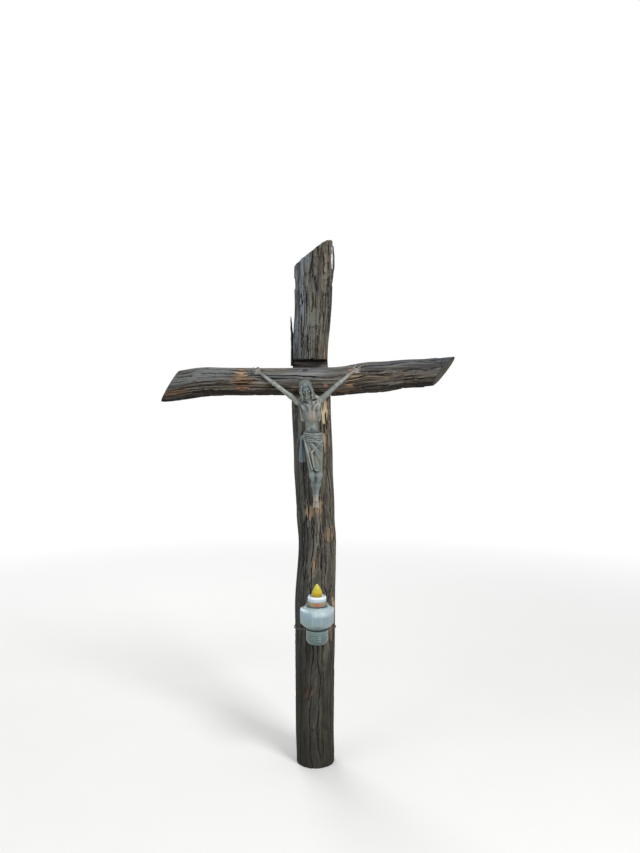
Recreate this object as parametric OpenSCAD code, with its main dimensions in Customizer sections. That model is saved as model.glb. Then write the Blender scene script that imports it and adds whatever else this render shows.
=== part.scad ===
// Wayside cross of two bark-covered logs, with a cast figure and a votive lantern.
// Millimetres. The origin is the centre of the post's foot at ground level, +Z is up,
// the figure faces -Y, and +X is to the viewer's right.

/* [Post] */
// Height of the sawn top's upper tip above the ground
post_h = 1945; // [1850:5:2150]
// Diameter of the post over its bark
post_d = 142; // [136:1:152]
// Number of bark ridges round the post
post_ridges = 18; // [14:1:22]
// Depth of the fissures in the post's bark
post_fissure = 8; // [4:0.5:11]
// Slope of the sawn top, rising to the viewer's right
top_slope = 37; // [20:1:45]
// Height that the weather has taken off the top's upper tip
tip_worn = 14; // [4:1:20]

/* [Crossbeam] */
// Span of the beam, tip to tip
beam_l = 1068; // [900:2:1240]
// Shift of the beam's middle to the viewer's right of the post's centre line
beam_shift = -10; // [-40:1:40]
// Diameter of the beam over its bark
beam_d = 104; // [98:1:112]
// Number of bark ridges round the beam
beam_ridges = 14; // [11:1:18]
// Depth of the fissures in the beam's bark
beam_fissure = 5; // [3:0.5:7]
// Slant of the sawn left end against the vertical
left_cut = 32; // [0:1:40]
// Slant of the sawn right end against the vertical
right_cut = 38; // [0:1:42]
// Turn of the right end's saw cut towards the viewer
right_turn = 18; // [0:1:25]

/* [Lap joint] */
// Height of the notch's lower seat above the ground
seat_h = 1382; // [1300:1:1450]
// Height of the notch that the beam lies in
lap_h = 129; // [118:1:150]
// Depth of the notch behind the post's front
lap_depth = 66; // [50:1:76]
// Depth of the flat that is hewn on the beam's back
housing = 12; // [6:1:18]
// Depth of the flat that is hewn under the beam
seat_cut = 4; // [2:0.5:8]
// Diameter of the spikes that hold the beam
spike_d = 8; // [6:0.5:10]
// Length of a spike under its head
spike_l = 112; // [100:1:125]

/* [Figure] */
// Height of the figure from its toes to the top of its head
corpus_h = 470; // [430:5:500]
// Height of the figure's hands above the notch's lower seat
hand_h = 81; // [74:1:86]
// Diameter of the nails through hands and feet
nail_d = 3; // [2:0.2:4]
// Length of a nail under its head
nail_l = 38; // [34:1:50]

/* [Lantern] */
// Height of the lantern's foot above the ground
lantern_h = 490; // [300:1:650]
// Shift of the lantern to the viewer's right of the post's foot
lantern_shift = 6; // [-20:1:20]
// Diameter of the glass bowl over its corners
bowl_d = 126; // [118:1:130]
// Diameter of the foot cup
cup_d = 78; // [74:1:84]
// Diameter of the waist that the wire grips
waist_d = 76; // [72:1:78]
// Diameter of the mouth that the lid closes
mouth_d = 80; // [76:1:84]
// Thickness of the glass
glass_wall = 3.5; // [2.5:0.1:4]
// Diameter of the candle's plastic cup
candle_d = 56; // [40:1:60]
// Height of the candle's plastic cup
candle_h = 92; // [70:1:100]
// Diameter of the lid's white cap
cap_d = 67; // [62:1:72]
// Height of the lid's white cap
cap_h = 18; // [14:1:22]
// Height of the lid's clear skirt
skirt_h = 22; // [19:1:30]
// Width of the lid's flame-shaped knob
flame_d = 38; // [28:1:44]
// Height of the lid's flame-shaped knob
flame_h = 47; // [35:1:55]
// Diameter of the tie wire
wire_d = 4; // [2:0.5:5]
// Height that the wire loses between the lantern's waist and the post
wire_drop = 34; // [0:1:40]

/* [Hidden] */
// Gap between pieces that rest on each other
rest_gap = 0.3;
// Play of a spike or nail in its hole, on the radius
play = 0.2;
// Overshoot of a cutting body
over = 40;

// Distance between the rings of bark points along a log
step = 65;
// Depth of the uneven patches on the crests of the bark
patch = 0.9;
// Width of a bark fissure at its mouth
fissure_w = 7;

// Sideways bow of the post's centre line, by height
post_bow = [[0, 0], [130, -3], [591, -2], [833, 7], [942, 0], [1132, -8], [1362, -16],
    [1528, -19], [1730, -8], [1945, -6]];
// Swell of the post's radius, by height
post_swell = [[0, 0], [590, 4], [830, -1], [1130, 1], [1360, 1], [1530, -7], [1650, -4], [1840, 0]];
// Rise of the beam's centre line, by distance from the post's centre line
beam_rise = [[-545, -20], [-360, 0], [70, 0], [232, 16], [380, 30], [540, 42]];
// Swell of the beam's radius, by distance from the post's centre line
beam_swell = [[-545, 2], [-430, 3], [-280, -1], [-130, -2], [0, 0], [83, 1], [232, 5], [380, 0]];

// Height of the beam's centre line at the post
beam_z = seat_h - seat_cut + beam_d / 2;
// Post's centre line at the crossing
cross_x = post_x(beam_z);
// Flat floor of the notch in the post
floor_y = lap_depth - post_r(beam_z);
// Centre line of the beam
beam_y = floor_y + housing - beam_d / 2;
// Reach of the beam to each side of the post's centre line
beam_left = beam_l / 2 - beam_shift;
beam_right = beam_l / 2 + beam_shift;
// Width of the flats that are hewn on the beam
hewn_w = post_d + 8;

// Free bark strips on the post: length, thickness, turn about the post and lift at the upper end
strip_left_l = 183;
strip_left_t = 12;
strip_left_turn = 172;
strip_left_lift = 8;
strip_right_l = 152;
strip_right_t = 7;
strip_right_turn = 2;
strip_right_lift = 6;
// Half the angle that a strip spans
strip_half = 15;
// Height of each strip's lower end
strip_left_z = beam_z + beam_d / 2 + 6;
strip_right_z = post_h - 12 - strip_right_l;

// Spike heads, their depth in the beam's bark and their places beside the crossing
spike_head_d = 2.4 * spike_d;
spike_head_h = 0.45 * spike_d;
spike_sink = 4;
spike_upper = [cross_x - 20, beam_z + 38];
spike_lower = [cross_x + 54, beam_z - 12];

// Nail heads
nail_head_d = 2.3 * nail_d;
nail_head_h = 0.6 * nail_d;

// Unit of the figure's drawing, which is 470 units high
unit = corpus_h / 470;
// Origin of the figure's drawing: its middle, the hands' height and the plane behind it
figure = [cross_x - 2, beam_y - beam_d / 2 + 26, seat_h + hand_h];
// Shoulders, elbows and hands in the drawing, x and z
shoulders = [[-43, -104], [36, -99]];
elbows = [[-111, -52], [94, -46]];
hands = [[-186, -1], [161, 4]];
// Depth of shoulders and elbows in front of the drawing's plane
shoulder_y = -37;
elbow_y = -40;
// Radii of the arm in the drawing: shoulder, biceps, elbow, forearm, wrist and heel of the hand
arm_r = [13, 11.5, 8.5, 9.2, 5.2, 4];
// Thickness of a palm, and the lift that carries it over the round of the bark
palm_t = 8 * unit;
palm_lift = 0.8;
// Place of the nail through both feet in the drawing, x and z
feet_nail = [22, -468];
// Depth of that nail's seat in front of the post
feet_t = 23 * unit;

// Heights in the lantern, above its foot
cup_round = 19;
cup_top = 49;
waist_z = 57;
funnel_z = 64;
side_z = 79;
shoulder_z = 129;
rim_z = 135;
// Ribs round the foot cup
rib_count = 3;
rib_pitch = 7;
rib_depth = 1.2;
// Radius at the lower end of the bowl's side, and of the rim that carries the lid
side_r = bowl_d / 2 - 3;
rim_r = mouth_d / 2 + 6;
// Flat panels round the bowl
panels = 12;

// Middle of the lantern, with a flat panel near the post at the height of the bowl's shoulder
touch_z = lantern_h + shoulder_z;
touch_r = post_r(touch_z) + bowl_d / 2 * cos(180 / panels) + rest_gap;
lantern = [lantern_shift, -sqrt(pow(touch_r, 2) - pow(lantern_shift - post_x(touch_z), 2)), lantern_h];

// Candle, in the lantern's foot
candle_wall = 1.2;
floor_round = cup_round - glass_wall;
floor_flat_r = cup_d / 2 - rib_depth - glass_wall - floor_round;
candle_over = max(0, candle_d / 2 - floor_flat_r);
candle_z = glass_wall + floor_round - sqrt(pow(floor_round, 2) - pow(candle_over, 2)) + rest_gap;
wax_z = candle_z + candle_wall + rest_gap;
wax_h = candle_h - 24;
wick_d = 2.4;
wick_l = 14;

// Lid, above the lantern's foot
lid_z = rim_z + rest_gap;
lid_wall = 2;
lip_h = 6;
lip_gap = 1;
skirt_low_r = rim_r - 1;
skirt_top_r = cap_d / 2 + 2;
collar_r = skirt_top_r - lid_wall - 4;
ring_h = 13;
ring_t = 1.2;
cap_z = lid_z + skirt_h + rest_gap;
// Dish in the cap's top that the knob stands in, and where the knob is widest as a share of its height
dish_h = 5;
dish_r = cap_d / 2 - 5.5;
belly = 0.35;

// Heights of the wire at the waist and at the post, its circle round the post and the twist of its ends
wire_z = lantern_h + waist_z;
loop_z = wire_z - wire_drop;
wire_r = wire_d / 2;
post_loop_r = post_r(loop_z) + rest_gap + wire_r;
waist_loop_r = waist_d / 2 + rest_gap + wire_r;
twist_r = wire_r + rest_gap / 2;
twist_turns = 2;
twist_pitch = 7 * twist_r;

// Value of a table at s, with level tangents at the table's own points
function smooth(table, s) =
    let (last = len(table) - 1)
    s <= table[0][0] ? table[0][1] :
    s >= table[last][0] ? table[last][1] :
    let (i = max([for (k = [0 : last - 1]) if (table[k][0] <= s) k]),
         a = table[i],
         b = table[i + 1],
         t = (s - a[0]) / (b[0] - a[0]))
    a[1] + (b[1] - a[1]) * t * t * (3 - 2 * t);

// The same, straight between a log's rings
function ringed(table, s) =
    let (a = floor(s / step) * step, t = (s - a) / step)
    (1 - t) * smooth(table, a) + t * smooth(table, a + step);

function post_x(z) = ringed(post_bow, z);
function post_r(z) = post_d / 2 + ringed(post_swell, z);
function beam_axis_z(x) = beam_z + ringed(beam_rise, x - cross_x);
function beam_r(x) = beam_d / 2 + ringed(beam_swell, x - cross_x);

// Point over the front of the beam at a side place and height, off its bark by a distance
function on_beam(x, z, off) =
    let (r = beam_r(x), a = asin(max(-0.9, min(0.9, (z - beam_axis_z(x)) / r))))
    [x, beam_y - (r + off) * cos(a), beam_axis_z(x) + (r + off) * sin(a)];

// Point of the figure's drawing in the part
function drawn(x, y, z) = figure + unit * [x, y, z];

// Angle of a bark fissure, wandering along the log
function fissure_turn(i, ridges, s) =
    let (k = i % ridges)
    360 / ridges * (i + 0.2 * sin(137 * k)) + 2.4 * sin(0.9 * s + 61 * k);

// Ring of bark round a log: each ridge has a fissure and two shoulders
function bark_ring(ridges, r, fissure, s) =
    [for (i = [0 : ridges - 1])
        let (a = fissure_turn(i, ridges, s),
             b = fissure_turn(i + 1, ridges, s),
             lip = fissure_w / 2 / r * 180 / PI,
             deep = fissure * (0.75 + 0.25 * sin(1.7 * s + 83 * i)),
             low = patch * (1 + sin(1.3 * s + 47 * i)) / 2)
        for (p = [[r - deep, a], [r - low, a + lip], [r - patch / 2 + low / 2, b - lip]])
            p[0] * [cos(p[1]), sin(p[1])]];

// Closed solid through a row of rings with equal numbers of points
module skin(rings) {
    n = len(rings[0]);
    last = (len(rings) - 1) * n;
    points = [for (ring = rings) each ring];
    foot = len(points);
    sides = [for (i = [0 : n : last - n], j = [0 : n - 1])
        let (a = i + j, b = i + (j + 1) % n)
        each [[a, a + n, b], [b, a + n, b + n]]];
    caps = [for (j = [0 : n - 1])
        let (k = (j + 1) % n)
        each [[j, k, foot], [last + k, last + j, foot + 1]]];
    ends = [mean(rings[0]), mean(rings[len(rings) - 1])];
    polyhedron(concat(points, ends), concat(sides, caps));
}

function mean(points) = [for (k = [0 : 2]) sum([for (p = points) p[k]]) / len(points)];
function sum(list) = list * [for (k = list) 1];

// Round tube along a path that never runs upright
module tube(path, r) {
    last = len(path) - 1;
    skin([for (i = [0 : last])
        let (t = unit_vector(path[min(i + 1, last)] - path[max(i - 1, 0)]),
             u = unit_vector(cross([0, 0, 1], t)),
             v = cross(t, u))
        [for (a = [0 : 45 : 315]) path[i] + r * (u * cos(a) + v * sin(a))]]);
}

function unit_vector(v) = v / norm(v);

// Hole for a spike or nail and the flat seat of its head, along +Y from its seat
module nail_hole(seat, d, head_d, l) {
    translate(seat) rotate([-90, 0, 0]) {
        cylinder(d = d + 2 * play, h = l + 1, $fn = 24);
        translate([0, 0, -over]) cylinder(d = head_d + 2 * rest_gap, h = over, $fn = 24);
    }
}

// Round-headed nail along +Y, its head on the seat
module nail(seat, d, head_d, head_h, l) {
    tip_l = 2 * d;
    translate(seat) rotate([-90, 0, 0])
        rotate_extrude($fn = 32)
            polygon([[0, -head_h], [0.3 * head_d, -head_h], [head_d / 2, -0.4 * head_h], [head_d / 2, 0],
                [d / 2, 0], [d / 2, l - tip_l], [0.15 * d, l], [0, l]]);
}

function spike_seat(at) = [at[0], on_beam(at[0], at[1], -spike_sink)[1], at[1]];
function hand_at(side) = [figure[0] + unit * hands[side][0], figure[2] + unit * hands[side][1]];
function hand_seat(side) =
    let (at = hand_at(side))
    [at[0], on_beam(at[0], at[1], 0)[1] - palm_t, at[1]];
function feet_z() = figure[2] + unit * feet_nail[1];
function feet_seat() = [figure[0] + unit * feet_nail[0], -post_r(feet_z()) - feet_t, feet_z()];

// Post: a bark-covered log with a slanting top, a blunt tip and a notch for the beam
module post() {
    rings = ceil((post_h + over) / step);
    top = [post_x(post_h), 0, post_h + tip_worn - post_d / 2 * tan(top_slope)];
    color("dimgray")
        difference() {
            skin([for (i = [-1 : rings])
                let (z = i * step)
                [for (p = bark_ring(post_ridges, post_d / 2 + smooth(post_swell, z), post_fissure, z))
                    [p[0] + smooth(post_bow, z), p[1], z]]]);
            translate([-post_d, -post_d, -2 * step])
                cube([2 * post_d, 2 * post_d, 2 * step]);
            translate(top) rotate([0, -top_slope, 0]) translate([-2 * post_d, -post_d, 0])
                cube([4 * post_d, 2 * post_d, 3 * step + post_d]);
            translate([post_x(post_h) - post_d, -post_d, post_h])
                cube([2 * post_d, 2 * post_d, 3 * step]);
            translate([cross_x - post_d, floor_y - post_d, seat_h])
                cube([2 * post_d, post_d, lap_h]);
            for (at = [spike_upper, spike_lower])
                nail_hole(spike_seat(at), spike_d, spike_head_d, spike_l);
            nail_hole(feet_seat(), nail_d, nail_head_d, nail_l);
        }
}

// Crossbeam: a bark-covered log with slanting ends, hewn flat where it meets the post
module crossbeam() {
    rings = ceil((max(beam_left, beam_right) + over) / step);
    left_x = cross_x - beam_left + beam_d / 2 * tan(left_cut);
    right_x = cross_x + beam_right - beam_d / 2 * tan(right_cut);
    block = 3 * beam_d;
    color("saddlebrown")
        difference() {
            skin([for (i = [-rings : rings])
                let (s = i * step)
                [for (p = bark_ring(beam_ridges, beam_d / 2 + smooth(beam_swell, s), beam_fissure, s))
                    [cross_x + s, beam_y + p[0], beam_z + smooth(beam_rise, s) + p[1]]]]);
            translate([left_x, beam_y, beam_axis_z(left_x)]) rotate([0, left_cut, 0])
                translate([-2 * block, -block, -block]) cube([2 * block, 2 * block, 2 * block]);
            translate([right_x, beam_y, beam_axis_z(right_x)]) rotate([0, right_cut, 0]) rotate([0, 0, -right_turn])
                translate([0, -block, -block]) cube([2 * block, 2 * block, 2 * block]);
            translate([cross_x - hewn_w / 2, floor_y, seat_h - over])
                cube([hewn_w, over, beam_d + 2 * over]);
            translate([cross_x - hewn_w / 2, beam_y - beam_d, seat_h - over])
                cube([hewn_w, 2 * beam_d, over]);
            for (at = [spike_upper, spike_lower])
                nail_hole(spike_seat(at), spike_d, spike_head_d, spike_l);
            for (side = [0, 1])
                nail_hole(hand_seat(side), nail_d, nail_head_d, nail_l);
        }
}

// Strip of free bark along the post, lifting off at its upper end
module bark_strip(turn, low, l, t, lift) {
    first = floor(low / step) + 1;
    last = ceil((low + l) / step) - 1;
    heights = concat([low], [for (i = [first : last]) i * step], [low + l]);
    skin([for (z = heights)
        let (along = (z - low) / l,
             r = post_r(z) + rest_gap + lift * pow(along, 2),
             half = strip_half * (1 - 0.6 * pow(along, 2)),
             thick = t * (0.55 + 0.45 * sin(180 * along)))
        [for (p = concat(
                [for (k = [-1 : 0.5 : 1]) [r, turn - k * half]],
                [for (k = [-0.9, -0.3, 0.4, 0.9]) [r + thick * (1 - 0.5 * k * k), turn + k * half]]))
            [post_x(z) + p[0] * cos(p[1]), p[0] * sin(p[1]), z]]]);
}

module bark_strip_left() {
    color("gray") bark_strip(strip_left_turn, strip_left_z, strip_left_l, strip_left_t, strip_left_lift);
}

module bark_strip_right() {
    color("gray") bark_strip(strip_right_turn, strip_right_z, strip_right_l, strip_right_t, strip_right_lift);
}

module beam_spike(at) {
    color("sienna") nail(spike_seat(at), spike_d, spike_head_d, spike_head_h, spike_l);
}

module beam_spike_upper() { beam_spike(spike_upper); }
module beam_spike_lower() { beam_spike(spike_lower); }

// Egg-shaped lump of the figure's drawing: middle and three half sizes
module lump(at, size) {
    translate(drawn(at[0], at[1], at[2])) scale(unit * size) sphere(1, $fn = 16);
}

// Two lumps with the skin drawn over them
module muscle(a, size_a, b, size_b) {
    hull() {
        lump(a, size_a);
        lump(b, size_b);
    }
}

// Ball at a point of the part, its radius in drawing units
module ball(at, r) {
    translate(at) sphere(unit * r, $fn = 12);
}

module limb(a, ra, b, rb) {
    hull() {
        ball(a, ra);
        ball(b, rb);
    }
}

// Shoulder joint of a side, and the turn of the flat where the arm is fitted
function shoulder_at(side) = drawn(shoulders[side][0], shoulder_y, shoulders[side][1]);
function arm_turn(side) = atan2(elbows[side][1] - shoulders[side][1], elbows[side][0] - shoulders[side][0]);

// Space beyond a shoulder's flat, from near to far along the arm
module beyond_shoulder(side, near, far, half) {
    translate(shoulder_at(side)) rotate([0, -arm_turn(side), 0])
        translate([near, -half, -half]) cube([far - near, 2 * half, 2 * half]);
}

// Figure's head, dropped forward and towards its right shoulder
module corpus_head() {
    translate(drawn(-14, -62, -58)) rotate([14, -10, 0]) scale(unit) {
        skull = [20, 24, 22];
        hull() {
            translate([0, 3, 9]) scale(skull) sphere(1, $fn = 24);
            translate([0, -8, -6]) scale([15, 15, 14]) sphere(1, $fn = 20);
        }
        hull() {
            translate([0, -8, -8]) scale([14, 13, 11]) sphere(1, $fn = 16);
            translate([0, -13, -27]) sphere(7, $fn = 16);
        }
        hull() {
            translate([0, -14, -25]) scale([10, 8, 8]) sphere(1, $fn = 16);
            translate([0, -15, -36]) sphere(3.5, $fn = 12);
        }
        hull() {
            translate([0, -22, 4]) sphere(2, $fn = 12);
            translate([0, -25, -9]) sphere(3, $fn = 12);
        }
        hull() {
            translate([0, 6, 9]) scale([25, 24, 25]) sphere(1, $fn = 24);
            translate([0, 12, -22]) scale([20, 12, 12]) sphere(1, $fn = 16);
        }
        for (side = [-1, 1])
            hull() {
                translate([20 * side, -2, 4]) scale([6, 10, 12]) sphere(1, $fn = 16);
                translate([19 * side, 2, -32]) sphere(5, $fn = 12);
            }
    }
}

// Figure's chest, belly and hips
module corpus_trunk() {
    muscle([-32, -37, -110], [14, 13, 14], [24, -37, -105], [14, 13, 14]);
    muscle([3, -37, -112], [30, 15, 16], [3.5, -38, -140], [36, 22, 22]);
    muscle([3.5, -38, -140], [36, 22, 22], [4, -38, -172], [29, 18, 14]);
    muscle([4, -38, -172], [29, 18, 14], [8, -37, -216], [28, 17, 14]);
    muscle([-6, -42, -104], [14, 12, 12], [-12, -56, -84], [12, 12, 12]);
    for (side = [0, 1])
        limb(shoulder_at(side), arm_r[0], drawn(shoulders[side][0] * 0.6, shoulder_y, shoulders[side][1] - 16), 17);
}

// Cloth wound round the hips, with a flap in front and a hanging end
module corpus_cloth() {
    muscle([9, -37, -220], [33, 21, 8], [11, -37, -236], [36, 24, 10]);
    muscle([11, -37, -236], [35, 23, 12], [16, -40, -290], [29, 21, 16]);
    muscle([16, -40, -290], [28, 21, 16], [24, -46, -340], [14, 12, 8]);
    hull() {
        lump([-27, -30, -232], [9, 9, 8]);
        lump([-33, -20, -318], [12, 5, 6]);
    }
}

// Figure's legs, the right foot laid over the left
module corpus_legs() {
    foot_y = -post_r(feet_z()) - rest_gap - 6 * unit;
    left_knee = drawn(8, -40, -366);
    right_knee = drawn(31, -42, -366);
    left_heel = [drawn(16, 0, 0)[0], foot_y - 4 * unit, drawn(0, 0, -444)[2]];
    right_heel = [drawn(26, 0, 0)[0], foot_y - 15 * unit, drawn(0, 0, -446)[2]];
    left_toes = [drawn(17, 0, 0)[0], foot_y, drawn(0, 0, -485)[2]];
    right_toes = [drawn(25, 0, 0)[0], foot_y - 12 * unit, drawn(0, 0, -487)[2]];
    limb(drawn(-6, -37, -245), 18, left_knee, 11.5);
    limb(drawn(26, -37, -245), 18, right_knee, 11.5);
    limb(left_knee, 11, left_heel, 7);
    limb(right_knee, 11, right_heel, 7);
    limb(left_heel, 7, left_toes, 6);
    limb(right_heel, 7, right_toes, 6);
}

module corpus_body() {
    color("lightslategray")
        difference() {
            union() {
                corpus_head();
                corpus_trunk();
                corpus_cloth();
                corpus_legs();
            }
            for (side = [0, 1])
                beyond_shoulder(side, 0, 30 * unit, 18 * unit);
            nail_hole(feet_seat(), nail_d, nail_head_d, nail_l);
        }
}

// Hand of a side, laid open on the beam's bark and nailed through the palm
module corpus_hand(side) {
    out = side == 0 ? -1 : 1;
    at = hand_at(side);
    place = function (x, z, r)
        on_beam(at[0] + out * unit * x, at[1] + unit * z, rest_gap + palm_lift + unit * r);
    hull() {
        ball(place(-9, -5, 4), 4);
        ball(place(-3, 8, 4), 4);
        ball(place(6, -6, 4), 4);
        ball(place(8, 5, 4), 4);
    }
    for (k = [0 : 3])
        limb(place(6 + 0.4 * k, 6 - 4 * k, 2.6), 2.8, place(19 - 1.2 * abs(k - 1), 11 - 6 * k, 2.2), 2.2);
    limb(place(-6, 4, 3), 3.2, place(2, 17, 2.4), 2.4);
}

// Arm of a side, cast apart and fitted at the shoulder
module corpus_arm(side) {
    out = side == 0 ? -1 : 1;
    shoulder = shoulder_at(side);
    elbow = drawn(elbows[side][0], elbow_y, elbows[side][1]);
    hand = hand_at(side);
    wrist = on_beam(hand[0] - out * unit * 13, hand[1] - unit * 9, rest_gap + unit * 8.5);
    heel = on_beam(hand[0] - out * unit * 6, hand[1], rest_gap + palm_lift + unit * arm_r[5]);
    biceps = shoulder + 0.35 * (elbow - shoulder);
    forearm = elbow + 0.28 * (wrist - elbow);
    joints = [shoulder, biceps, elbow, forearm, wrist, heel];
    color("slategray")
        difference() {
            union() {
                for (k = [0 : len(joints) - 2])
                    limb(joints[k], arm_r[k], joints[k + 1], arm_r[k + 1]);
                corpus_hand(side);
            }
            beyond_shoulder(side, -over, rest_gap, 30 * unit);
            nail_hole(hand_seat(side), nail_d, nail_head_d, nail_l);
        }
}

module corpus_arm_left() { corpus_arm(0); }
module corpus_arm_right() { corpus_arm(1); }

module hand_nail(side) {
    color("dimgray") nail(hand_seat(side), nail_d, nail_head_d, nail_head_h, nail_l);
}

module nail_hand_left() { hand_nail(0); }
module nail_hand_right() { hand_nail(1); }

module nail_feet() {
    color("dimgray") nail(feet_seat(), nail_d, nail_head_d, nail_head_h, nail_l);
}

// Rounded lower edge of a cup with a flat bottom, as profile points
function round_foot(r, bottom, radius) =
    [for (a = [-90 : 15 : 0]) [r - radius + radius * cos(a), bottom + radius + radius * sin(a)]];

// Lantern's glass: a panelled bowl over a narrower foot cup with ribs
module lantern_glass() {
    r = cup_d / 2;
    ribs = [for (i = [0 : rib_count - 1])
        let (z = cup_round + 3 + i * rib_pitch)
        each [[r, z - 2], [r - rib_depth, z], [r, z + 2]]];
    outside = concat([[0, 0]], round_foot(r, 0, cup_round), ribs,
        [[r, cup_top], [waist_d / 2, waist_z - 4], [waist_d / 2, waist_z + 3], [waist_d / 2 + 4, funnel_z],
         [side_r, side_z], [bowl_d / 2, shoulder_z - 4], [bowl_d / 2 - 1.5, shoulder_z],
         [rim_r, rim_z - 3], [rim_r, rim_z], [0, rim_z]]);
    w = glass_wall;
    inside = concat([[0, w]], round_foot(r - rib_depth - w, w, floor_round),
        [[r - rib_depth - w, cup_top - w], [waist_d / 2 - w, waist_z - 4 - w / 2],
         [waist_d / 2 - w, waist_z + 3], [waist_d / 2 + 4 - w, funnel_z + w / 2],
         [side_r - 1.4 * w, side_z + w / 2], [bowl_d / 2 - 1.5 * w, shoulder_z - 4],
         [mouth_d / 2, rim_z - w - 3], [mouth_d / 2, rim_z + over], [0, rim_z + over]]);
    color("lightblue")
        translate(lantern) rotate(180 / panels)
            difference() {
                rotate_extrude($fn = 64) polygon(outside);
                rotate_extrude($fn = 64) polygon(inside);
                translate([0, 0, funnel_z])
                    difference() {
                        cylinder(d = 2 * bowl_d, h = rim_z, $fn = 64);
                        translate([0, 0, -1]) cylinder(d = bowl_d, h = rim_z + 2, $fn = panels);
                    }
            }
}

module candle_cup() {
    color("firebrick")
        translate(lantern + [0, 0, candle_z])
            difference() {
                cylinder(d = candle_d, h = candle_h, $fn = 64);
                translate([0, 0, candle_wall])
                    cylinder(d = candle_d - 2 * candle_wall, h = candle_h, $fn = 64);
            }
}

module candle_wax() {
    color("ivory")
        translate(lantern + [0, 0, wax_z])
            difference() {
                cylinder(d = candle_d - 2 * candle_wall - 2 * rest_gap, h = wax_h, $fn = 64);
                translate([0, 0, wax_h / 2]) cylinder(d = wick_d + 2 * play, h = wax_h, $fn = 24);
            }
}

module candle_wick() {
    color("black")
        translate(lantern + [0, 0, wax_z + wax_h / 2 + rest_gap])
            cylinder(d = wick_d, h = wax_h / 2 + wick_l, $fn = 24);
}

// Lid's clear skirt, with a lip that locates it in the mouth
module lid_base() {
    lip_r = mouth_d / 2 - lip_gap;
    color("aliceblue")
        translate(lantern + [0, 0, lid_z])
            rotate_extrude($fn = 64)
                polygon([[lip_r - lid_wall, -lip_h], [lip_r, -lip_h], [lip_r, 0], [skirt_low_r, 0],
                    [skirt_low_r, 2], [skirt_top_r, skirt_h - 2], [skirt_top_r, skirt_h],
                    [collar_r + rest_gap, skirt_h], [collar_r + rest_gap, skirt_h - lid_wall],
                    [skirt_top_r - lid_wall, skirt_h - lid_wall], [skirt_low_r - lid_wall - 2, 2.5],
                    [lip_r - lid_wall, 2.5]]);
}

// Gold band round the cap's collar, seen through the skirt
module lid_ring() {
    color("goldenrod")
        translate(lantern + [0, 0, cap_z - rest_gap - lid_wall - 1 - ring_h])
            difference() {
                cylinder(r = collar_r + ring_t + rest_gap, h = ring_h, $fn = 64);
                translate([0, 0, -1]) cylinder(r = collar_r + rest_gap / 2, h = ring_h + 2, $fn = 64);
            }
}

// Lid's white cap, hollow, with a dish for the knob and a collar that goes down through the skirt's top
module lid_cap() {
    collar_l = ring_h + lid_wall + 3;
    floor_z = cap_h - dish_h;
    r = cap_d / 2;
    color("white")
        translate(lantern + [0, 0, cap_z])
            rotate_extrude($fn = 64)
                polygon([[0, floor_z], [dish_r - 1, floor_z], [dish_r, cap_h - 1], [dish_r + 1, cap_h], [r - 3, cap_h],
                    [r - 1.5, cap_h - 2], [r - 1, cap_h - 5], [r, 0], [collar_r, 0], [collar_r, -collar_l],
                    [collar_r - lid_wall, -collar_l], [collar_r - lid_wall, 2],
                    [collar_r - lid_wall - 2, floor_z - lid_wall], [0, floor_z - lid_wall]]);
}

// Flame-shaped knob that stands in the cap's dish
module lid_flame() {
    steps = 14;
    foot_share = 0.8;
    outline = [for (i = [0 : steps - 1])
        let (t = i / steps)
        [flame_d / 2 * (t < belly ? 1 - (1 - foot_share) * pow(1 - t / belly, 2) : cos(90 * (t - belly) / (1 - belly))),
         flame_h * t]];
    color("gold")
        translate(lantern + [0, 0, cap_z + cap_h - dish_h + rest_gap])
            rotate_extrude($fn = 48)
                polygon(concat([[0, 0]], outline, [[0, flame_h]]));
}

// Wire round the lantern's waist and the post, its ends twisted together behind the post
module tie_wire() {
    centre = [post_x(loop_z), 0, loop_z];
    waist = [lantern[0], lantern[1], wire_z];
    away = [waist[0] - centre[0], waist[1]];
    axis = atan2(away[1], away[0]);
    spread = acos((post_loop_r - waist_loop_r) / norm(away));
    twist_y = post_loop_r + 2 * wire_d;
    steps = 8;
    round_post = function (a) centre + post_loop_r * [cos(a), sin(a), 0];
    round_waist = function (a) waist + waist_loop_r * [cos(a), sin(a), 0];
    strand = function (start, i)
        centre + [twist_r * cos(start + 360 * i / steps), twist_y + twist_pitch * i / steps,
                  twist_r * sin(start + 360 * i / steps)];
    right = [for (i = [twist_turns * steps : -1 : 0]) strand(0, i)];
    left = [for (i = [0 : twist_turns * steps]) strand(180, i)];
    behind = 90;
    parting = 8;
    right_from = behind - parting;
    right_to = axis + spread;
    left_from = axis - spread;
    left_to = behind + parting - 360;
    path = concat(right,
        [for (i = [0 : steps]) round_post(right_from + (right_to - right_from) * i / steps)],
        [for (i = [0 : 1.5 * steps]) round_waist(right_to + (left_from - right_to) * i / (1.5 * steps))],
        [for (i = [0 : steps]) round_post(left_from + (left_to - left_from) * i / steps)],
        left);
    color("black") tube(path, wire_r);
}

post();
crossbeam();
bark_strip_left();
bark_strip_right();
beam_spike_upper();
beam_spike_lower();
corpus_body();
corpus_arm_left();
corpus_arm_right();
nail_hand_left();
nail_hand_right();
nail_feet();
lantern_glass();
candle_cup();
candle_wax();
candle_wick();
lid_base();
lid_ring();
lid_cap();
lid_flame();
tie_wire();
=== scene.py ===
import math

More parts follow.
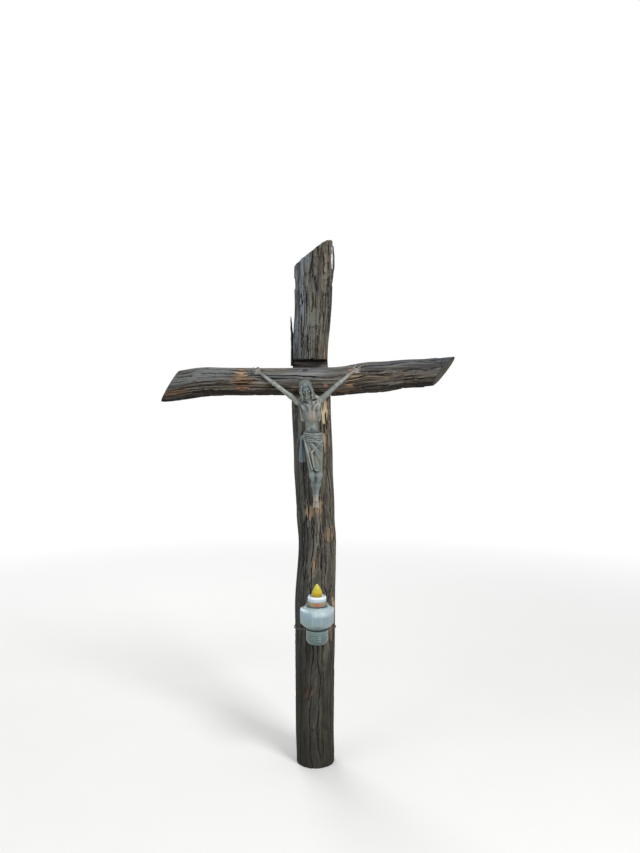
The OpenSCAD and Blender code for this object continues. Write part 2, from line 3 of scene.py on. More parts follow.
import bpy
import numpy as np
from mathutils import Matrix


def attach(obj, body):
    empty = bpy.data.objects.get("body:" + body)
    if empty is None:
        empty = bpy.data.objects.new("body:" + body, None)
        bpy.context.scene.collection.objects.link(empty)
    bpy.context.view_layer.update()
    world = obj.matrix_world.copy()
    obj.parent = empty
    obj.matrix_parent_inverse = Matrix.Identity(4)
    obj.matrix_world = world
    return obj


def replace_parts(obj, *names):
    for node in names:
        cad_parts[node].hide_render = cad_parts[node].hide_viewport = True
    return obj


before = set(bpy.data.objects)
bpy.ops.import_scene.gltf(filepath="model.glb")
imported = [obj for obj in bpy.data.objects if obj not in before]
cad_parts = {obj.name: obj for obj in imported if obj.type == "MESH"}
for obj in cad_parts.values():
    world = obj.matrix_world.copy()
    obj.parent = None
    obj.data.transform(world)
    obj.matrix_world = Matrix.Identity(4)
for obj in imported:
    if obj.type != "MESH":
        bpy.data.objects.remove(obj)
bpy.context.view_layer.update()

import openvdb
from mathutils import Matrix, Vector

MM = 0.001
# Place of points that no spot or crack on the front may reach
OFF_FRONT = 1e4
PHOTO_H = 853

# Camera at the photograph's viewing angle
FOCAL_PX = 830
SENSOR = 36
CAMERA_AT = (0.0166, -3.070, 1.429)
CAMERA_DOWN = math.radians(3.07)
camera = bpy.data.cameras.new("camera")
camera.sensor_width = SENSOR
camera.lens = FOCAL_PX / PHOTO_H * SENSOR
camera_object = bpy.data.objects.new("camera", camera)
camera_object.location = CAMERA_AT
camera_object.rotation_euler = (math.radians(90) - CAMERA_DOWN, 0, 0)
bpy.context.scene.collection.objects.link(camera_object)
bpy.context.scene.camera = camera_object
bpy.context.scene.view_settings.view_transform = "Standard"


class Nodes:
    """A node tree and short calls that add nodes to it."""

    def __init__(self, tree):
        self.tree = tree

    def put(self, kind, inputs=None, out=0, **settings):
        made = self.tree.nodes.new("ShaderNode" + kind)
        for key, value in settings.items():
            setattr(made, key, value)
        for key, value in (inputs or {}).items():
            self.join(made.inputs[key], value)
        return made.outputs[out]

    def join(self, socket, value):
        if isinstance(value, bpy.types.NodeSocket):
            self.tree.links.new(value, socket)
        else:
            socket.default_value = value

    def math(self, operation, a, b=0.0, clamp=False):
        return self.put("Math", {0: a, 1: b}, operation=operation, use_clamp=clamp)

    def times(self, a, b):
        return self.math("MULTIPLY", a, b)

    def plus(self, a, b, clamp=False):
        return self.math("ADD", a, b, clamp)

    def seen(self):
        """1 for rays that the camera sees directly, as a gloss or through glass."""
        ray = self.tree.nodes.new("ShaderNodeLightPath").outputs
        bent = self.math("MAXIMUM", ray["Is Glossy Ray"], ray["Is Transmission Ray"])
        return self.math("MAXIMUM", ray["Is Camera Ray"], bent)


class Paint(Nodes):
    """A material. Colours of three numbers are as picked on a screen, 0 to 255."""

    def __init__(self, name):
        self.material = bpy.data.materials.new(name)
        self.material.use_nodes = True
        super().__init__(self.material.node_tree)
        self.shader = self.tree.nodes["Principled BSDF"]
        self.place = self.put("TexCoord", out="Object")

    def set(self, **values):
        for key, value in values.items():
            self.join(self.shader.inputs[key.replace("_", " ")], value)

    def scaled(self, *scale):
        return self.put("Mapping", {"Vector": self.place, "Scale": scale})

    def noise(self, scale, detail=4.0, rough=0.55, at=None, bend=0.0):
        return self.put("TexNoise", {"Vector": at or self.place, "Scale": scale, "Detail": detail,
                                     "Roughness": rough, "Distortion": bend}, out="Fac")

    def attribute(self, name):
        return self.put("Attribute", out="Fac", attribute_name=name)

    def span(self, axis, low, high):
        """How far a place is from one coordinate to another, in millimetres."""
        at = self.put("SeparateXYZ", {"Vector": self.place}, out=axis)
        return self.put("MapRange", {"Value": at, "From Min": low * MM, "From Max": high * MM})

    def ramp(self, fac, *stops):
        made = self.tree.nodes.new("ShaderNodeValToRGB")
        self.join(made.inputs["Fac"], fac)
        points = made.color_ramp.elements
        while len(points) < len(stops):
            points.new(0.5)
        for point, (at, value) in zip(points, stops):
            point.position = at
            point.color = linear(value) if isinstance(value, tuple) else (value, value, value, 1)
        return made.outputs["Color"]

    def mix(self, fac, a, b):
        made = self.tree.nodes.new("ShaderNodeMix")
        made.data_type = "RGBA"
        for key, value in (("Factor_Float", fac), ("A_Color", linear(a)), ("B_Color", linear(b))):
            self.join(next(s for s in made.inputs if s.identifier == key), value)
        return next(s for s in made.outputs if s.identifier == "Result_Color")

    def layers(self, tone, *rows):
        """Tones laid one over the other, each where a value passes from one stop to the next."""
        for value, low, high, over in rows:
            tone = self.mix(self.ramp(value, low, high), tone, over)
        return tone

    def grimy(self, tone, grime):
        """Moulded skin with faint grime over a tone."""
        self.bump(self.noise(700, 3), 0.12, 0.0004)
        return self.layers(tone, (self.noise(90, 6, 0.7), (0.56, 0), (0.74, 0.55), grime))

    def masked(self, tone, **overs):
        """Tones laid one over the other, each by the attribute that it is named for."""
        for name, over in overs.items():
            tone = self.mix(self.attribute(name), tone, over)
        return tone

    def bump(self, height, strength, distance):
        self.set(Normal=self.put("Bump", {"Height": height, "Strength": strength, "Distance": distance}))


def linear(value):
    """Colour as picked on a screen, 0 to 255, in the renderer's terms. Anything else stays as it is."""
    if not isinstance(value, tuple) or len(value) != 3:
        return value
    return (*((c / 255 / 12.92) if c <= 10 else ((c / 255 + 0.055) / 1.055) ** 2.4 for c in value), 1)


def mesh_object(name, points, faces, masks, paint, body="cross"):
    """Smooth object from points in millimetres and arrays of quads or triangles."""
    mesh = bpy.data.meshes.new(name)
    points = np.asarray(points, dtype=np.float64).reshape(-1, 3) * MM
    faces = [np.asarray(part, dtype=np.int32) for part in faces if len(part)]
    corners = np.concatenate([part.ravel() for part in faces])
    sizes = np.concatenate([np.full(len(part), part.shape[1]) for part in faces])
    mesh.vertices.add(len(points))
    mesh.vertices.foreach_set("co", points.ravel())
    mesh.loops.add(len(corners))
    mesh.loops.foreach_set("vertex_index", corners)
    mesh.polygons.add(len(sizes))
    mesh.polygons.foreach_set("loop_start", np.concatenate([[0], np.cumsum(sizes)[:-1]]))
    mesh.polygons.foreach_set("use_smooth", np.ones(len(sizes), bool))
    mesh.update(calc_edges=True)
    for key, values in masks.items():
        add_mask(mesh, key, values)
    made = bpy.data.objects.new(name, mesh)
    bpy.context.scene.collection.objects.link(made)
    mesh.materials.append(paint.material)
    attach(made, body)
    return made


def add_mask(mesh, name, values):
    mesh.attributes.new(name, "FLOAT", "POINT").data.foreach_set("value", np.ravel(values))


def grid_faces(rows, cols, start=0):
    """Quads of a grid whose columns close round, facing outward for turns that run anticlockwise."""
    i, j = np.meshgrid(np.arange(rows - 1), np.arange(cols), indexing="ij")
    k = (j + 1) % cols
    quads = np.stack([i * cols + j, i * cols + k, (i + 1) * cols + k, (i + 1) * cols + j], axis=-1)
    return quads.reshape(-1, 4) + start


def tube_faces(rows, cols):
    """The same, and fans at both ends to two tips that follow the grid's points."""
    here = np.arange(cols)
    ahead = (here + 1) % cols
    last = (rows - 1) * cols
    low = np.column_stack([ahead, here, np.full(cols, rows * cols)])
    high = np.column_stack([last + here, last + ahead, np.full(cols, rows * cols + 1)])
    return [grid_faces(rows, cols), np.concatenate([low, high])]


def ease(low, high, value):
    t = np.clip((value - low) / (high - low), 0, 1)
    return t * t * (3 - 2 * t)


def noise(turn, s, around, length, seed):
    """Smooth noise from -1 to 1 that closes round a log."""
    many = 512
    table = np.random.default_rng(seed).uniform(-1, 1, (around, many))
    a = turn * around
    b = s / length + 100
    i = np.floor(a).astype(int)
    j = np.floor(b).astype(int)
    p = ease(0, 1, a - i)
    q = ease(0, 1, b - j)
    low, high = (table[k % around, j % many] * (1 - q) + table[k % around, (j + 1) % many] * q
                 for k in (i, i + 1))
    return low * (1 - p) + high * p


def rough(turn, s, seed, *rows):
    """Sum of smooth noises: rows of strength, cells round the log and length, each with its own seed."""
    return sum(size * noise(turn, s, around, length, seed + k)
               for k, (size, around, length) in enumerate(rows))


def cells(turn, s, around, length, seed, jitter):
    """Staggered cells round a log: how near their borders are, how far a border runs along the log,
    and a number for each cell."""
    rng = np.random.default_rng(seed)
    many = 256
    side, along = rng.uniform(-jitter, jitter, (2, around, many))
    tag = rng.random((around, many))
    a = turn * around
    b = s / length + 60
    near = np.full(a.shape, 9.0)
    second = near.copy()
    who = np.zeros(a.shape)
    at_a, at_b, next_a, next_b = (np.zeros(a.shape) for _ in range(4))
    base = np.floor(a).astype(int)
    for dk in (-1, 0, 1):
        k = base + dk
        column = k % around
        shift = 0.5 * (column % 2)
        row = np.floor(b - shift).astype(int)
        for dj in (-1, 0, 1):
            j = row + dj
            to_a = a - (k + 0.5 + side[column, j % many])
            to_b = b - (j + 0.5 + shift + along[column, j % many])
            d = np.hypot(to_a, to_b)
            closer = d < near
            between = ~closer & (d < second)
            next_a = np.where(closer, at_a, np.where(between, to_a, next_a))
            next_b = np.where(closer, at_b, np.where(between, to_b, next_b))
            second = np.where(closer, near, np.minimum(second, d))
            who = np.where(closer, tag[column, j % many], who)
            at_a = np.where(closer, to_a, at_a)
            at_b = np.where(closer, to_b, at_b)
            near = np.where(closer, d, near)
    run = np.abs(next_a - at_a) / (np.hypot(next_a - at_a, next_b - at_b) + 1e-6)
    return second - near, run ** 2, who


# Logs: the solids' own centre lines and radii, in millimetres
POST_H, POST_D, POST_RIDGES, TOP_SLOPE, TIP_WORN = 1945, 142, 18, 37, 14
BEAM_LEFT, BEAM_RIGHT, BEAM_D, BEAM_RIDGES = 544, 524, 104, 14
LEFT_CUT, RIGHT_CUT, RIGHT_TURN = 32, 38, 18
SEAT_H, LAP_H, LAP_DEPTH, HOUSING, SEAT_CUT = 1382, 129, 66, 12, 4
# The gap by which each solid lies off its seat
GAP = 0.3
POST_BOW = [[0, 0], [130, -3], [591, -2], [833, 7], [942, 0], [1132, -8], [1362, -16],
            [1528, -19], [1730, -8], [1945, -6]]
POST_SWELL = [[0, 0], [590, 4], [830, -1], [1130, 1], [1360, 1], [1530, -7], [1650, -4], [1840, 0]]
BEAM_RISE = [[-545, -20], [-360, 0], [70, 0], [232, 16], [380, 30], [540, 42]]
BEAM_SWELL = [[-545, 2], [-430, 3], [-280, -1], [-130, -2], [0, 0], [83, 1], [232, 5], [380, 0]]


def eased(table, s):
    """Value of a table at s, with level tangents at the table's own points."""
    table = np.array(table, dtype=float)
    s = np.clip(s, table[0, 0], table[-1, 0])
    i = np.clip(np.searchsorted(table[:, 0], s, side="right") - 1, 0, len(table) - 2)
    share = ease(0, 1, (s - table[i, 0]) / (table[i + 1, 0] - table[i, 0]))
    return table[i, 1] + (table[i + 1, 1] - table[i, 1]) * share


def post_x(z):
    return eased(POST_BOW, z)


def post_r(z):
    return POST_D / 2 + eased(POST_SWELL, z)


BEAM_Z = SEAT_H - SEAT_CUT + BEAM_D / 2
CROSS_X = float(post_x(BEAM_Z))
FLOOR_Y = LAP_DEPTH - float(post_r(BEAM_Z))
BEAM_Y = FLOOR_Y + HOUSING - BEAM_D / 2
HEWN_HALF = (POST_D + 8) / 2


def ridge_turn(ridges, s, angle):
    """Place round a log in turns, measured in the solid's own bark ridges, whose fissures wander."""
    i = np.arange(-1, ridges + 2)
    k = i % ridges
    out = np.empty_like(angle)
    for row in range(len(s)):
        at = s[row, 0]
        lines = 360 / ridges * (i + 0.2 * np.sin(np.radians(137 * k)))
        lines = lines + 2.4 * np.sin(np.radians(0.9 * at + 61 * k))
        out[row] = np.interp(angle[row], lines, i) / ridges
    return out


def bark(ridges, s, angle, seed, deep, length, blocky, wave=1.0):
    """Depth of fissured bark under its crests, and masks for its paint. The ridges wander by wave."""
    turn = ridge_turn(ridges, s, angle)
    wander = rough(turn, s, seed, (0.24, ridges, 70), (0.11, ridges * 2, 26))
    wide = turn + wave * wander / ridges
    # Fissures on the solid's own lines, open in some stretches and nearly closed in others
    gap, run, _ = cells(wide, s, ridges, length, seed + 2, 0.3)
    gape = np.clip(0.7 + 0.7 * noise(turn, s, ridges, 120, seed + 3), 0.2, 1) * (0.1 + 0.9 * run)
    groove = np.clip(1 - gap / (0.05 + 0.19 * gape), 0, 1) * np.sqrt(gape)
    # Two or three ridges between fissures, and slats along each ridge
    gap, run, ridge = cells(wide, s, ridges * 2, length * 0.5, seed + 4, 0.38)
    gape = np.clip(0.6 + 0.6 * noise(turn, s, ridges * 2, 60, seed + 5), 0.1, 1) * (0.15 + 0.85 * run)
    groove2 = np.clip(1 - gap / (0.08 + 0.22 * gape), 0, 1) * gape
    gap, run, slat = cells(wide, s, ridges * 5, length * 0.3, seed + 6, 0.45)
    groove3 = np.clip(1 - gap / 0.45, 0, 1) * (0.25 + 0.75 * run)
    # Cross breaks that part the ridges into short blocks in some stretches
    gap, run, block = cells(wide, s, ridges * 2, 26, seed + 7, 0.42)
    broken = ease(0.0, 0.7, noise(turn, s, ridges // 2, 110, seed + 8) + 2 * blocky - 0.9)
    groove4 = np.clip(1 - gap / 0.16, 0, 1) * broken * (1 - 0.6 * run)
    fine = rough(turn, s, seed + 9, (1, ridges * 8, 30), (0.7, ridges * 14, 9))
    depth = deep * groove + 3.6 * groove2 + 2.2 * groove3 + 1.6 * groove4 + 1.8 * ridge + 1.2 * slat
    depth += 1.0 * block * broken + 0.4 * fine + 1.2 * noise(turn, s, 7, 140, seed + 11)
    # Painted shade in the fissures, strongest in the widest.
    cavity_shade = np.clip(1.1 * groove + 0.9 * groove2 + 0.5 * groove3 + 0.6 * groove4, 0, 1.4)
    plate = ridge * (1 - 0.4 * broken) + 0.4 * block * broken
    masks = {"cavity_shade": cavity_shade, "plate": plate, "flake": slat, "turn": turn}
    return np.maximum(depth - 2.2, -0.2), masks


def smooth_plate(depth, masks, plate, x, z, turn):
    """Spot where an even plate of bark covers the fissures, with a crack under its lower end."""
    at_x, at_z, half_x, half_z = plate
    ragged = 0.4 * noise(turn, z, 40, 22, 41)
    inside = ease(1.15, 0.85, np.abs((x - at_x) / half_x) + ragged)
    inside = inside * ease(1.12, 0.85, np.abs((z - at_z) / half_z) + ragged)
    under = np.abs(z - at_z + 1.1 * half_z + 14 * ragged)
    crack = ease(1.3, 0.7, np.abs((x - at_x - 6) / half_x)) * ease(3.6, 0.8, under)
    # The crack under the plate is darkened with painted shade.
    masks["cavity_shade"] = masks["cavity_shade"] * (1 - 0.5 * inside) + 0.3 * crack
    masks["lichen"] = 0.45 * inside
    return depth * (1 - 0.5 * inside) + 1.5 * crack


def strip_bark(depth, masks, spots, x, z, seed, turn, ragged=0.55):
    """Spots without bark: bare wood at an even depth with a ragged edge, each more or less pale."""
    bare, pale = np.zeros_like(depth), np.zeros_like(depth)
    fingers = rough(turn, z, seed, (ragged, 60, 40), (0.45, 180, 15))
    for at_x, at_z, half_x, half_z, light in spots:
        here = ease(1.25, 0.8, np.hypot((x - at_x) / half_x, (z - at_z) / half_z) + fingers)
        bare = np.maximum(bare, here)
        pale = np.maximum(pale, here * light)
    slits = np.clip(noise(turn, z, 110, 42, seed + 4) - 0.12, 0, 1) * 4
    floor = 3.8 + rough(turn, z, seed + 2, (0.9, 90, 60), (0.7, 160, 14)) + slits
    masks["bare"] = bare
    masks["pale"] = pale
    # Slits in the bare wood are darkened with painted shade.
    masks["cavity_shade"] = masks["cavity_shade"] * (1 - bare) + bare * np.clip(0.8 * slits, 0, 1)
    return depth * (1 - bare) + floor * bare


def crack_lines(depth, masks, lines, x, z, turn, seed):
    """Long cracks along the grain, each from one place to another, with its half width and its depth."""
    for k, (x0, z0, x1, z1, half, deep) in enumerate(lines):
        line = x0 + (x1 - x0) * np.clip((z - z0) / (z1 - z0), 0, 1)
        line = line + 2.4 * noise(0 * turn + 0.37, z, 3, 17, seed + k)
        wide = half * (1 + 0.6 * noise(turn, z, 60, 9, seed + k + 40))
        inside = ease(1.0, 0.25, np.abs(x - line) / wide)
        inside = inside * ease(-4, 8, z - min(z0, z1)) * ease(-4, 8, max(z0, z1) - z)
        depth = depth + deep * inside
        # Each crack is darkened with painted shade.
        masks["cavity_shade"] = np.maximum(masks["cavity_shade"], 0.95 * inside)
    return depth


def cap(rim, centre, normal, rings, seed):
    """Sawn end inside a rim: rings of points towards a centre, with saw marks and drying cracks."""
    cols = len(rim)
    made, share = [], []
    rng = np.random.default_rng(seed)
    angle = np.linspace(0, 2 * math.pi, cols, endpoint=False)
    cracks = rng.uniform(0, 2 * math.pi, 7)
    reach = rng.uniform(0.35, 0.9, 7)
    for k in range(1, rings):
        f = 1 - k / rings
        ring = centre + (rim - centre) * f
        sink = 0.5 * np.sin(ring[:, 0] * 0.9 + ring[:, 2] * 1.3) ** 2 + 0.5 * rng.random(cols)
        for turn, far in zip(cracks, reach):
            off = np.abs((angle - turn + math.pi) % (2 * math.pi) - math.pi) * f * 60
            sink = sink + 5 * np.clip(1 - off / 2.2, 0, 1) * ease(far, far - 0.3, f)
        made.append(ring - normal * sink[:, None])
        share.append(np.full(cols, f))
    return made, share


def log_piece(name, paint, masks, grid, ends, seed):
    """Log from a grid of points, closed at each end: a row, the way it faces, its winding and its rings."""
    rows, cols = grid.shape[:2]
    points = [grid.reshape(-1, 3)]
    quads, fans = [grid_faces(rows, cols)], []
    values = {key: [np.ravel(mask)] for key, mask in masks.items()}
    values["cut"] = [np.zeros(rows * cols)]
    values["heart"] = [np.ones(rows * cols)]
    total = rows * cols
    here = np.arange(cols)
    ahead = (here + 1) % cols
    for row, normal, flip, rings in ends:
        centre = grid[row].mean(axis=0)
        # The rim is repeated a little inward so that the sawn wood starts at an edge of its own
        edge = centre + (grid[row] - centre) * 0.996
        inner, share = cap(edge, centre, normal, rings, seed + row)
        points += [edge] + inner + [centre[None]]
        count = cols * rings + 1
        first = (row % rows) * cols
        last = total + cols * (rings - 1)
        join = np.column_stack([first + here, first + ahead, total + ahead, total + here])
        fan = np.column_stack([last + here, last + ahead, np.full(cols, total + cols * rings)])
        order = slice(None, None, -1 if flip else 1)
        quads += [grid_faces(rings, cols, total)[:, order], join[:, order]]
        fans.append(fan[:, order])
        for key in values:
            values[key].append(np.zeros(count))
        values["cut"][-1] = np.ones(count)
        values["heart"][-1] = np.concatenate([np.ones(cols)] + share + [[0]])
        total += count
    piece = mesh_object(name, np.concatenate(points), [np.concatenate(quads), np.concatenate(fans)],
                        {key: np.concatenate(parts) for key, parts in values.items()}, paint)
    mesh = piece.data
    pairs = np.empty(len(mesh.edges) * 2, dtype=np.int32)
    mesh.edges.foreach_get("vertices", pairs)
    row_of = pairs.reshape(-1, 2) // cols
    rims = [row % rows for row, *_ in ends]
    sharp = (row_of[:, 0] == row_of[:, 1]) & np.isin(row_of[:, 0], rims)
    mesh.attributes.new("sharp_edge", "BOOLEAN", "EDGE").data.foreach_set("value", sharp)
    return piece


def bark_paint(name, cool, plain, warm, light, wood, grain, cross):
    """Weathered bark: grey ridges whose tone runs from one side of the log to the other as painted light,
    streaks along the grain, near-black fissures and cracks of painted shade, pale lichen, painted sky
    light, bare wood, hewn flats, painted shade on one side and low down, and sawn ends."""
    paint = Paint(name)
    cavity_shade, plate, heart = (paint.attribute(key) for key in ("cavity_shade", "plate", "heart"))
    along = paint.scaled(*grain)
    streak = paint.noise(170, 6, 0.7, along)
    blotch = paint.times(paint.math("SUBTRACT", paint.noise(11), 0.5), 1.6)
    # Tone across the log, from one side to the other, broken by blotches: painted light, bluish where sky
    # light falls and darker or warmer where it does not.
    share = paint.plus(paint.attribute("across"), blotch)
    base = paint.layers(
        paint.ramp(share, (0.08, cool), (0.45, plain), (0.9, warm)),
        (plate, (0.05, 0.55), (0.4, 0), (120, 117, 109)),
        (plate, (0.5, 0), (0.95, 0.7), (54, 51, 48)),
        (paint.attribute("flake"), (0.4, 0), (0.95, 0.6), (50, 48, 46)),
        (streak, (0.52, 0), (0.7, 0.8), light),
        (streak, (0.3, 0.8), (0.46, 0), (42, 40, 38)))
    patchy = paint.plus(paint.ramp(paint.noise(26, 6, 0.65), (0.55, 0), (0.68, 0.5)),
                        paint.times(paint.attribute("lichen"), 0.8), clamp=True)
    lichen = paint.times(patchy, paint.ramp(cavity_shade, (0.1, 1), (0.5, 0)))
    base = paint.mix(lichen, base, paint.mix(paint.noise(90, 5), (92, 100, 92), (119, 126, 116)))
    base = paint.layers(base, (paint.noise(420, 5, 0.7), (0.6, 0), (0.78, 0.4), (148, 143, 132)))
    bare = paint.layers(
        wood[0],
        (paint.noise(120, 6, 0.7, along), (0.38, 0), (0.62, 1), wood[1]),
        (paint.noise(90, 5, at=along), (0.52, 0), (0.62, 0.9), wood[2]),
        (paint.noise(105, at=along), (0.36, 0.95), (0.47, 0), (50, 40, 34)),
        (paint.noise(34, 5), (0.48, 0), (0.66, 0.6), (96, 94, 84)))
    across = paint.noise(70, 6, 0.65, paint.scaled(*cross))
    # Painted sky light, bluish and pale; a dark slate tone that also paints shade on the post's right edge.
    base = paint.masked(
        base,
        sky=paint.mix(streak, (98, 109, 120), (146, 156, 164)),
        bare=paint.masked(bare, pale=paint.mix(streak, (144, 122, 94), (214, 198, 162))),
        slate=(44, 50, 58),
        hewn=paint.layers((34, 29, 32), (across, (0.35, 0), (0.65, 1), (118, 110, 106))))
    # Painted shade: near-black in fissures, cracks and slits, along the lower front of the beam and at the
    # top of the notch.
    base = paint.layers(base, (cavity_shade, (0.22, 0), (0.8, 1), (26, 24, 22)))
    rings = paint.put("CombineXYZ", {"X": paint.times(heart, 26)})
    rings = paint.put("TexWave", {"Vector": rings, "Scale": 1, "Distortion": 3, "Detail": 3}, out="Fac",
                      wave_type="BANDS")
    end = paint.layers(
        paint.mix(rings, (66, 62, 56), (104, 98, 88)),
        (heart, (0.8, 0), (0.9, 1), (44, 40, 38)),
        (paint.noise(30, 6), (0.45, 0), (0.7, 0.7), (62, 64, 64)))
    # Painted shade, darker on a shaded side and low down, and a darker left end of the beam.
    base = paint.masked(base, damp=paint.mix(streak, (29, 28, 24), (53, 50, 42)), cut=end)
    paint.set(Base_Color=base, Roughness=0.92, Specular_IOR_Level=0.25)
    paint.bump(paint.plus(streak, paint.times(paint.noise(320, 6, 0.7), 0.5)), 0.8, 0.0016)
    return paint


# The first three tones run round the log: painted light, bluish on the post's left and warmer on its right,
# dark brown under the beam and grey on its top.
post_paint = bark_paint("bark_post", (76, 82, 86), (87, 85, 79), (98, 91, 78), (148, 142, 130),
                        ((84, 66, 54), (140, 112, 88), (176, 150, 128)), (1, 1, 0.06), (0.12, 0.12, 1))
beam_paint = bark_paint("bark_beam", (46, 35, 28), (88, 78, 66), (92, 93, 94), (154, 141, 121),
                        ((80, 56, 42), (158, 114, 78), (196, 160, 134)), (0.05, 1, 1), (1, 0.12, 0.12))

# Spots on the post's front, by middle and half sizes in x and z
BARE_SPOTS = [(12, 988, 19, 44, 0.3), (-24, 956, 19, 22, 0.3), (56, 876, 22, 30, 0.2),
              (-9, 754, 5, 28, 0.3), (3, 768, 4, 20, 0.1), (37, 1330, 13, 44, 1), (34, 1230, 8, 38, 0.2),
              (-28, 276, 14, 20, 0), (38, 1526, 8, 36, 0), (67, 606, 5, 22, 0.7), (60, 500, 6, 56, 0.35)]
EVEN_PLATE = (-8, 1656, 24, 28)
# Long cracks on the upper front: x and z of both ends, half width and depth
CRACKS = [(27, 1893, 34, 1812, 3.2, 5), (-12, 1880, -9, 1800, 2.8, 4), (-3, 1812, 6, 1752, 4.2, 5),
          (-53, 1752, -50, 1705, 3.2, 4), (-33, 1750, -34, 1672, 2.6, 4), (-10, 1750, -11, 1676, 2.8, 4),
          (-51, 1684, -52, 1552, 3.0, 4), (-29, 1600, -26, 1512, 3.2, 5), (9, 1600, 12, 1512, 2.8, 4),
          (30, 1760, 28, 1600, 2.4, 3), (46, 1806, 48, 1640, 2.8, 4), (-41, 922, -42, 842, 3.0, 4),
          (-13, 902, -12, 850, 2.6, 4), (11, 834, 9, 776, 3.0, 4), (-46, 800, -44, 690, 3.4, 4),
          (5, 902, 3, 838, 2.4, 4), (16, 892, 18, 822, 2.4, 4), (24, 812, 21, 742, 2.8, 4),
          (-22, 700, -20, 640, 2.8, 4)]
# Radius lost behind the free slab of bark on the right and at the upper left edge, by height
LOST_RIGHT = [[1778, 0], [1792, 7], [1925, 7], [1936, 2]]
LOST_LEFT = [[1764, 0], [1776, 5], [1800, 5], [1812, 0]]


def post_grid(z, angle):
    """Bark-covered points of the post at heights z and angles in degrees, both arrays of one shape."""
    upper = ease(1490, 1540, z)
    low, masks = bark(POST_RIDGES, z, angle, 100, 7.0, 260, 0.25)
    high, masks2 = bark(POST_RIDGES, z, angle, 300, 6.5, 260, 0.5, 0.7)
    depth = low * (1 - upper) + high * upper
    masks = {key: masks[key] * (1 - upper) + masks2[key] * upper for key in masks}
    turn = np.radians(angle)
    x = post_x(z) + post_r(z) * np.cos(turn)
    front = np.where(np.sin(turn) < 0, x, OFF_FRONT)
    place = masks.pop("turn")
    depth = smooth_plate(depth, masks, EVEN_PLATE, front, z, place)
    depth = crack_lines(depth, masks, CRACKS, front, z, place, 210)
    depth = strip_bark(depth, masks, BARE_SPOTS, front, z, 70, place)
    for lost, middle in ((LOST_RIGHT, 2), (LOST_LEFT, 186)):
        aside = np.abs((angle - middle + 180) % 360 - 180)
        depth = depth + eased(lost, z) * ease(24, 14, aside + 5 * noise(place, z, 60, 12, 44))
    # Painted light by side: 0 on the post's bluish left, 1 on its warmer right.
    across = 0.5 + 0.5 * np.cos(turn)
    masks["across"] = across
    # Painted shade: the left side below the beam and the foot of the post darker.
    masks["damp"] = (0.45 * ease(0.5, 0.05, across) * ease(1360, 1000, z) + 0.14 * ease(1360, 1100, z)
                     + (0.44 + 0.16 * ease(0.5, 0.9, across)) * ease(640, 300, z) + 0.15 * ease(260, 0, z))
    # Painted sky light: bluish and paler on the upper left.
    masks["sky"] = (0.8 * ease(0.6, 0.1, across) * ease(1480, 1600, z)
                    * ease(-0.6, 0.3, noise(place, z, 24, 90, 45)))
    # Painted shade: a dark slate tone along the right edge of the upper post.
    masks["slate"] = 0.8 * ease(0.90, 0.97, across) * ease(1590, 1620, z) * ease(1800, 1770, z)
    masks["hewn"] = np.zeros_like(z)
    return post_r(z) - depth, masks


def straight_grid(z, angle, r):
    turn = np.radians(angle)
    return np.stack([post_x(z) + r * np.cos(turn), r * np.sin(turn), z], axis=-1)


COLS = 256
SEAM_Z = 513
angles = np.linspace(0, 360, COLS, endpoint=False)
UP = np.array([0.0, 0, 1])


def post_part(name, low, high, rows, foot_rings, top_rings):
    """Stretch of the post between two heights. The wire hides the seam of the lower two."""
    grid_z, grid_a = np.meshgrid(np.linspace(low, high, rows), angles, indexing="ij")
    r, masks = post_grid(grid_z, grid_a)
    ends = [(0, -UP, True, foot_rings), (rows - 1, UP, False, top_rings)]
    return log_piece(name, post_paint, masks, straight_grid(grid_z, grid_a, r), ends, 1)


def upper_post():
    slope = math.radians(TOP_SLOPE)
    top_x = float(post_x(POST_H))
    top_z = POST_H + TIP_WORN - POST_D / 2 * math.tan(slope)
    inside = np.linspace(SEAT_H, SEAT_H + LAP_H, 24)
    notch = len(inside)
    edge = 0.25
    share = np.linspace(0, 1, 200)
    rows = notch + 1 + len(share)
    grid_a = np.broadcast_to(angles, (rows, COLS)).copy()
    turn = np.radians(grid_a)
    grid_z = np.zeros((rows, COLS))
    grid_z[:notch] = inside[:, None]
    first = SEAT_H + LAP_H
    grid_z[notch] = first + edge
    r = post_r(1900) * np.ones(COLS)
    chips = 3 * (0.5 + 0.5 * noise(angles / 360, angles * 0, 40, 10, 5))
    for _ in range(3):
        sawn = top_z + math.tan(slope) * (post_x(POST_H) + r * np.cos(turn[0]) - top_x) - chips
        blunt = POST_H - 0.6 * chips - 0.5
        end = np.minimum(sawn, blunt) - 3 * np.clip(1 - np.abs(sawn - blunt) / 9, 0, 1) ** 2
        grid_z[notch + 1:] = first + 2 * edge + (end - first - 2 * edge)[None] * share[:, None]
        whole, masks = post_grid(grid_z, grid_a)
        r = whole[-1]
    front = np.sin(turn) < 0
    flat = np.minimum(whole, FLOOR_Y / np.minimum(np.sin(turn), -1e-6))
    r = whole.copy()
    r[:notch] = np.where(front, flat, whole)[:notch]
    # Rag the lower edge of the bark over the notch
    lift = np.where(front, 2.5 + 5 * noise(grid_a / 360, grid_z, 90, 9, 31), 0)[notch]
    grid_z[notch] += np.maximum(lift, 0)
    for i in range(notch + 1, notch + 10):
        grid_z[i] = np.maximum(grid_z[i], grid_z[i - 1] + edge)
    r[notch] = r[notch] - 0.4
    grid = straight_grid(grid_z, grid_a, r)
    cut = np.zeros((rows, COLS))
    cut[:notch] = np.where(front & (whole - flat > 1.0), 1, 0)[:notch]
    masks["hewn"] = cut
    # Painted shadow: the hewn flat turns near-black towards the top of the notch, under the bark's
    # overhang.
    masks["cavity_shade"] = masks["cavity_shade"] * (1 - cut) + cut * ease(first - 13, first - 7, grid_z)
    normal = np.array([-math.sin(slope), 0, math.cos(slope)])
    ends = [(0, -UP, True, 3), (rows - 1, normal, False, 14)]
    return log_piece("post_upper", post_paint, masks, grid, ends, 3)


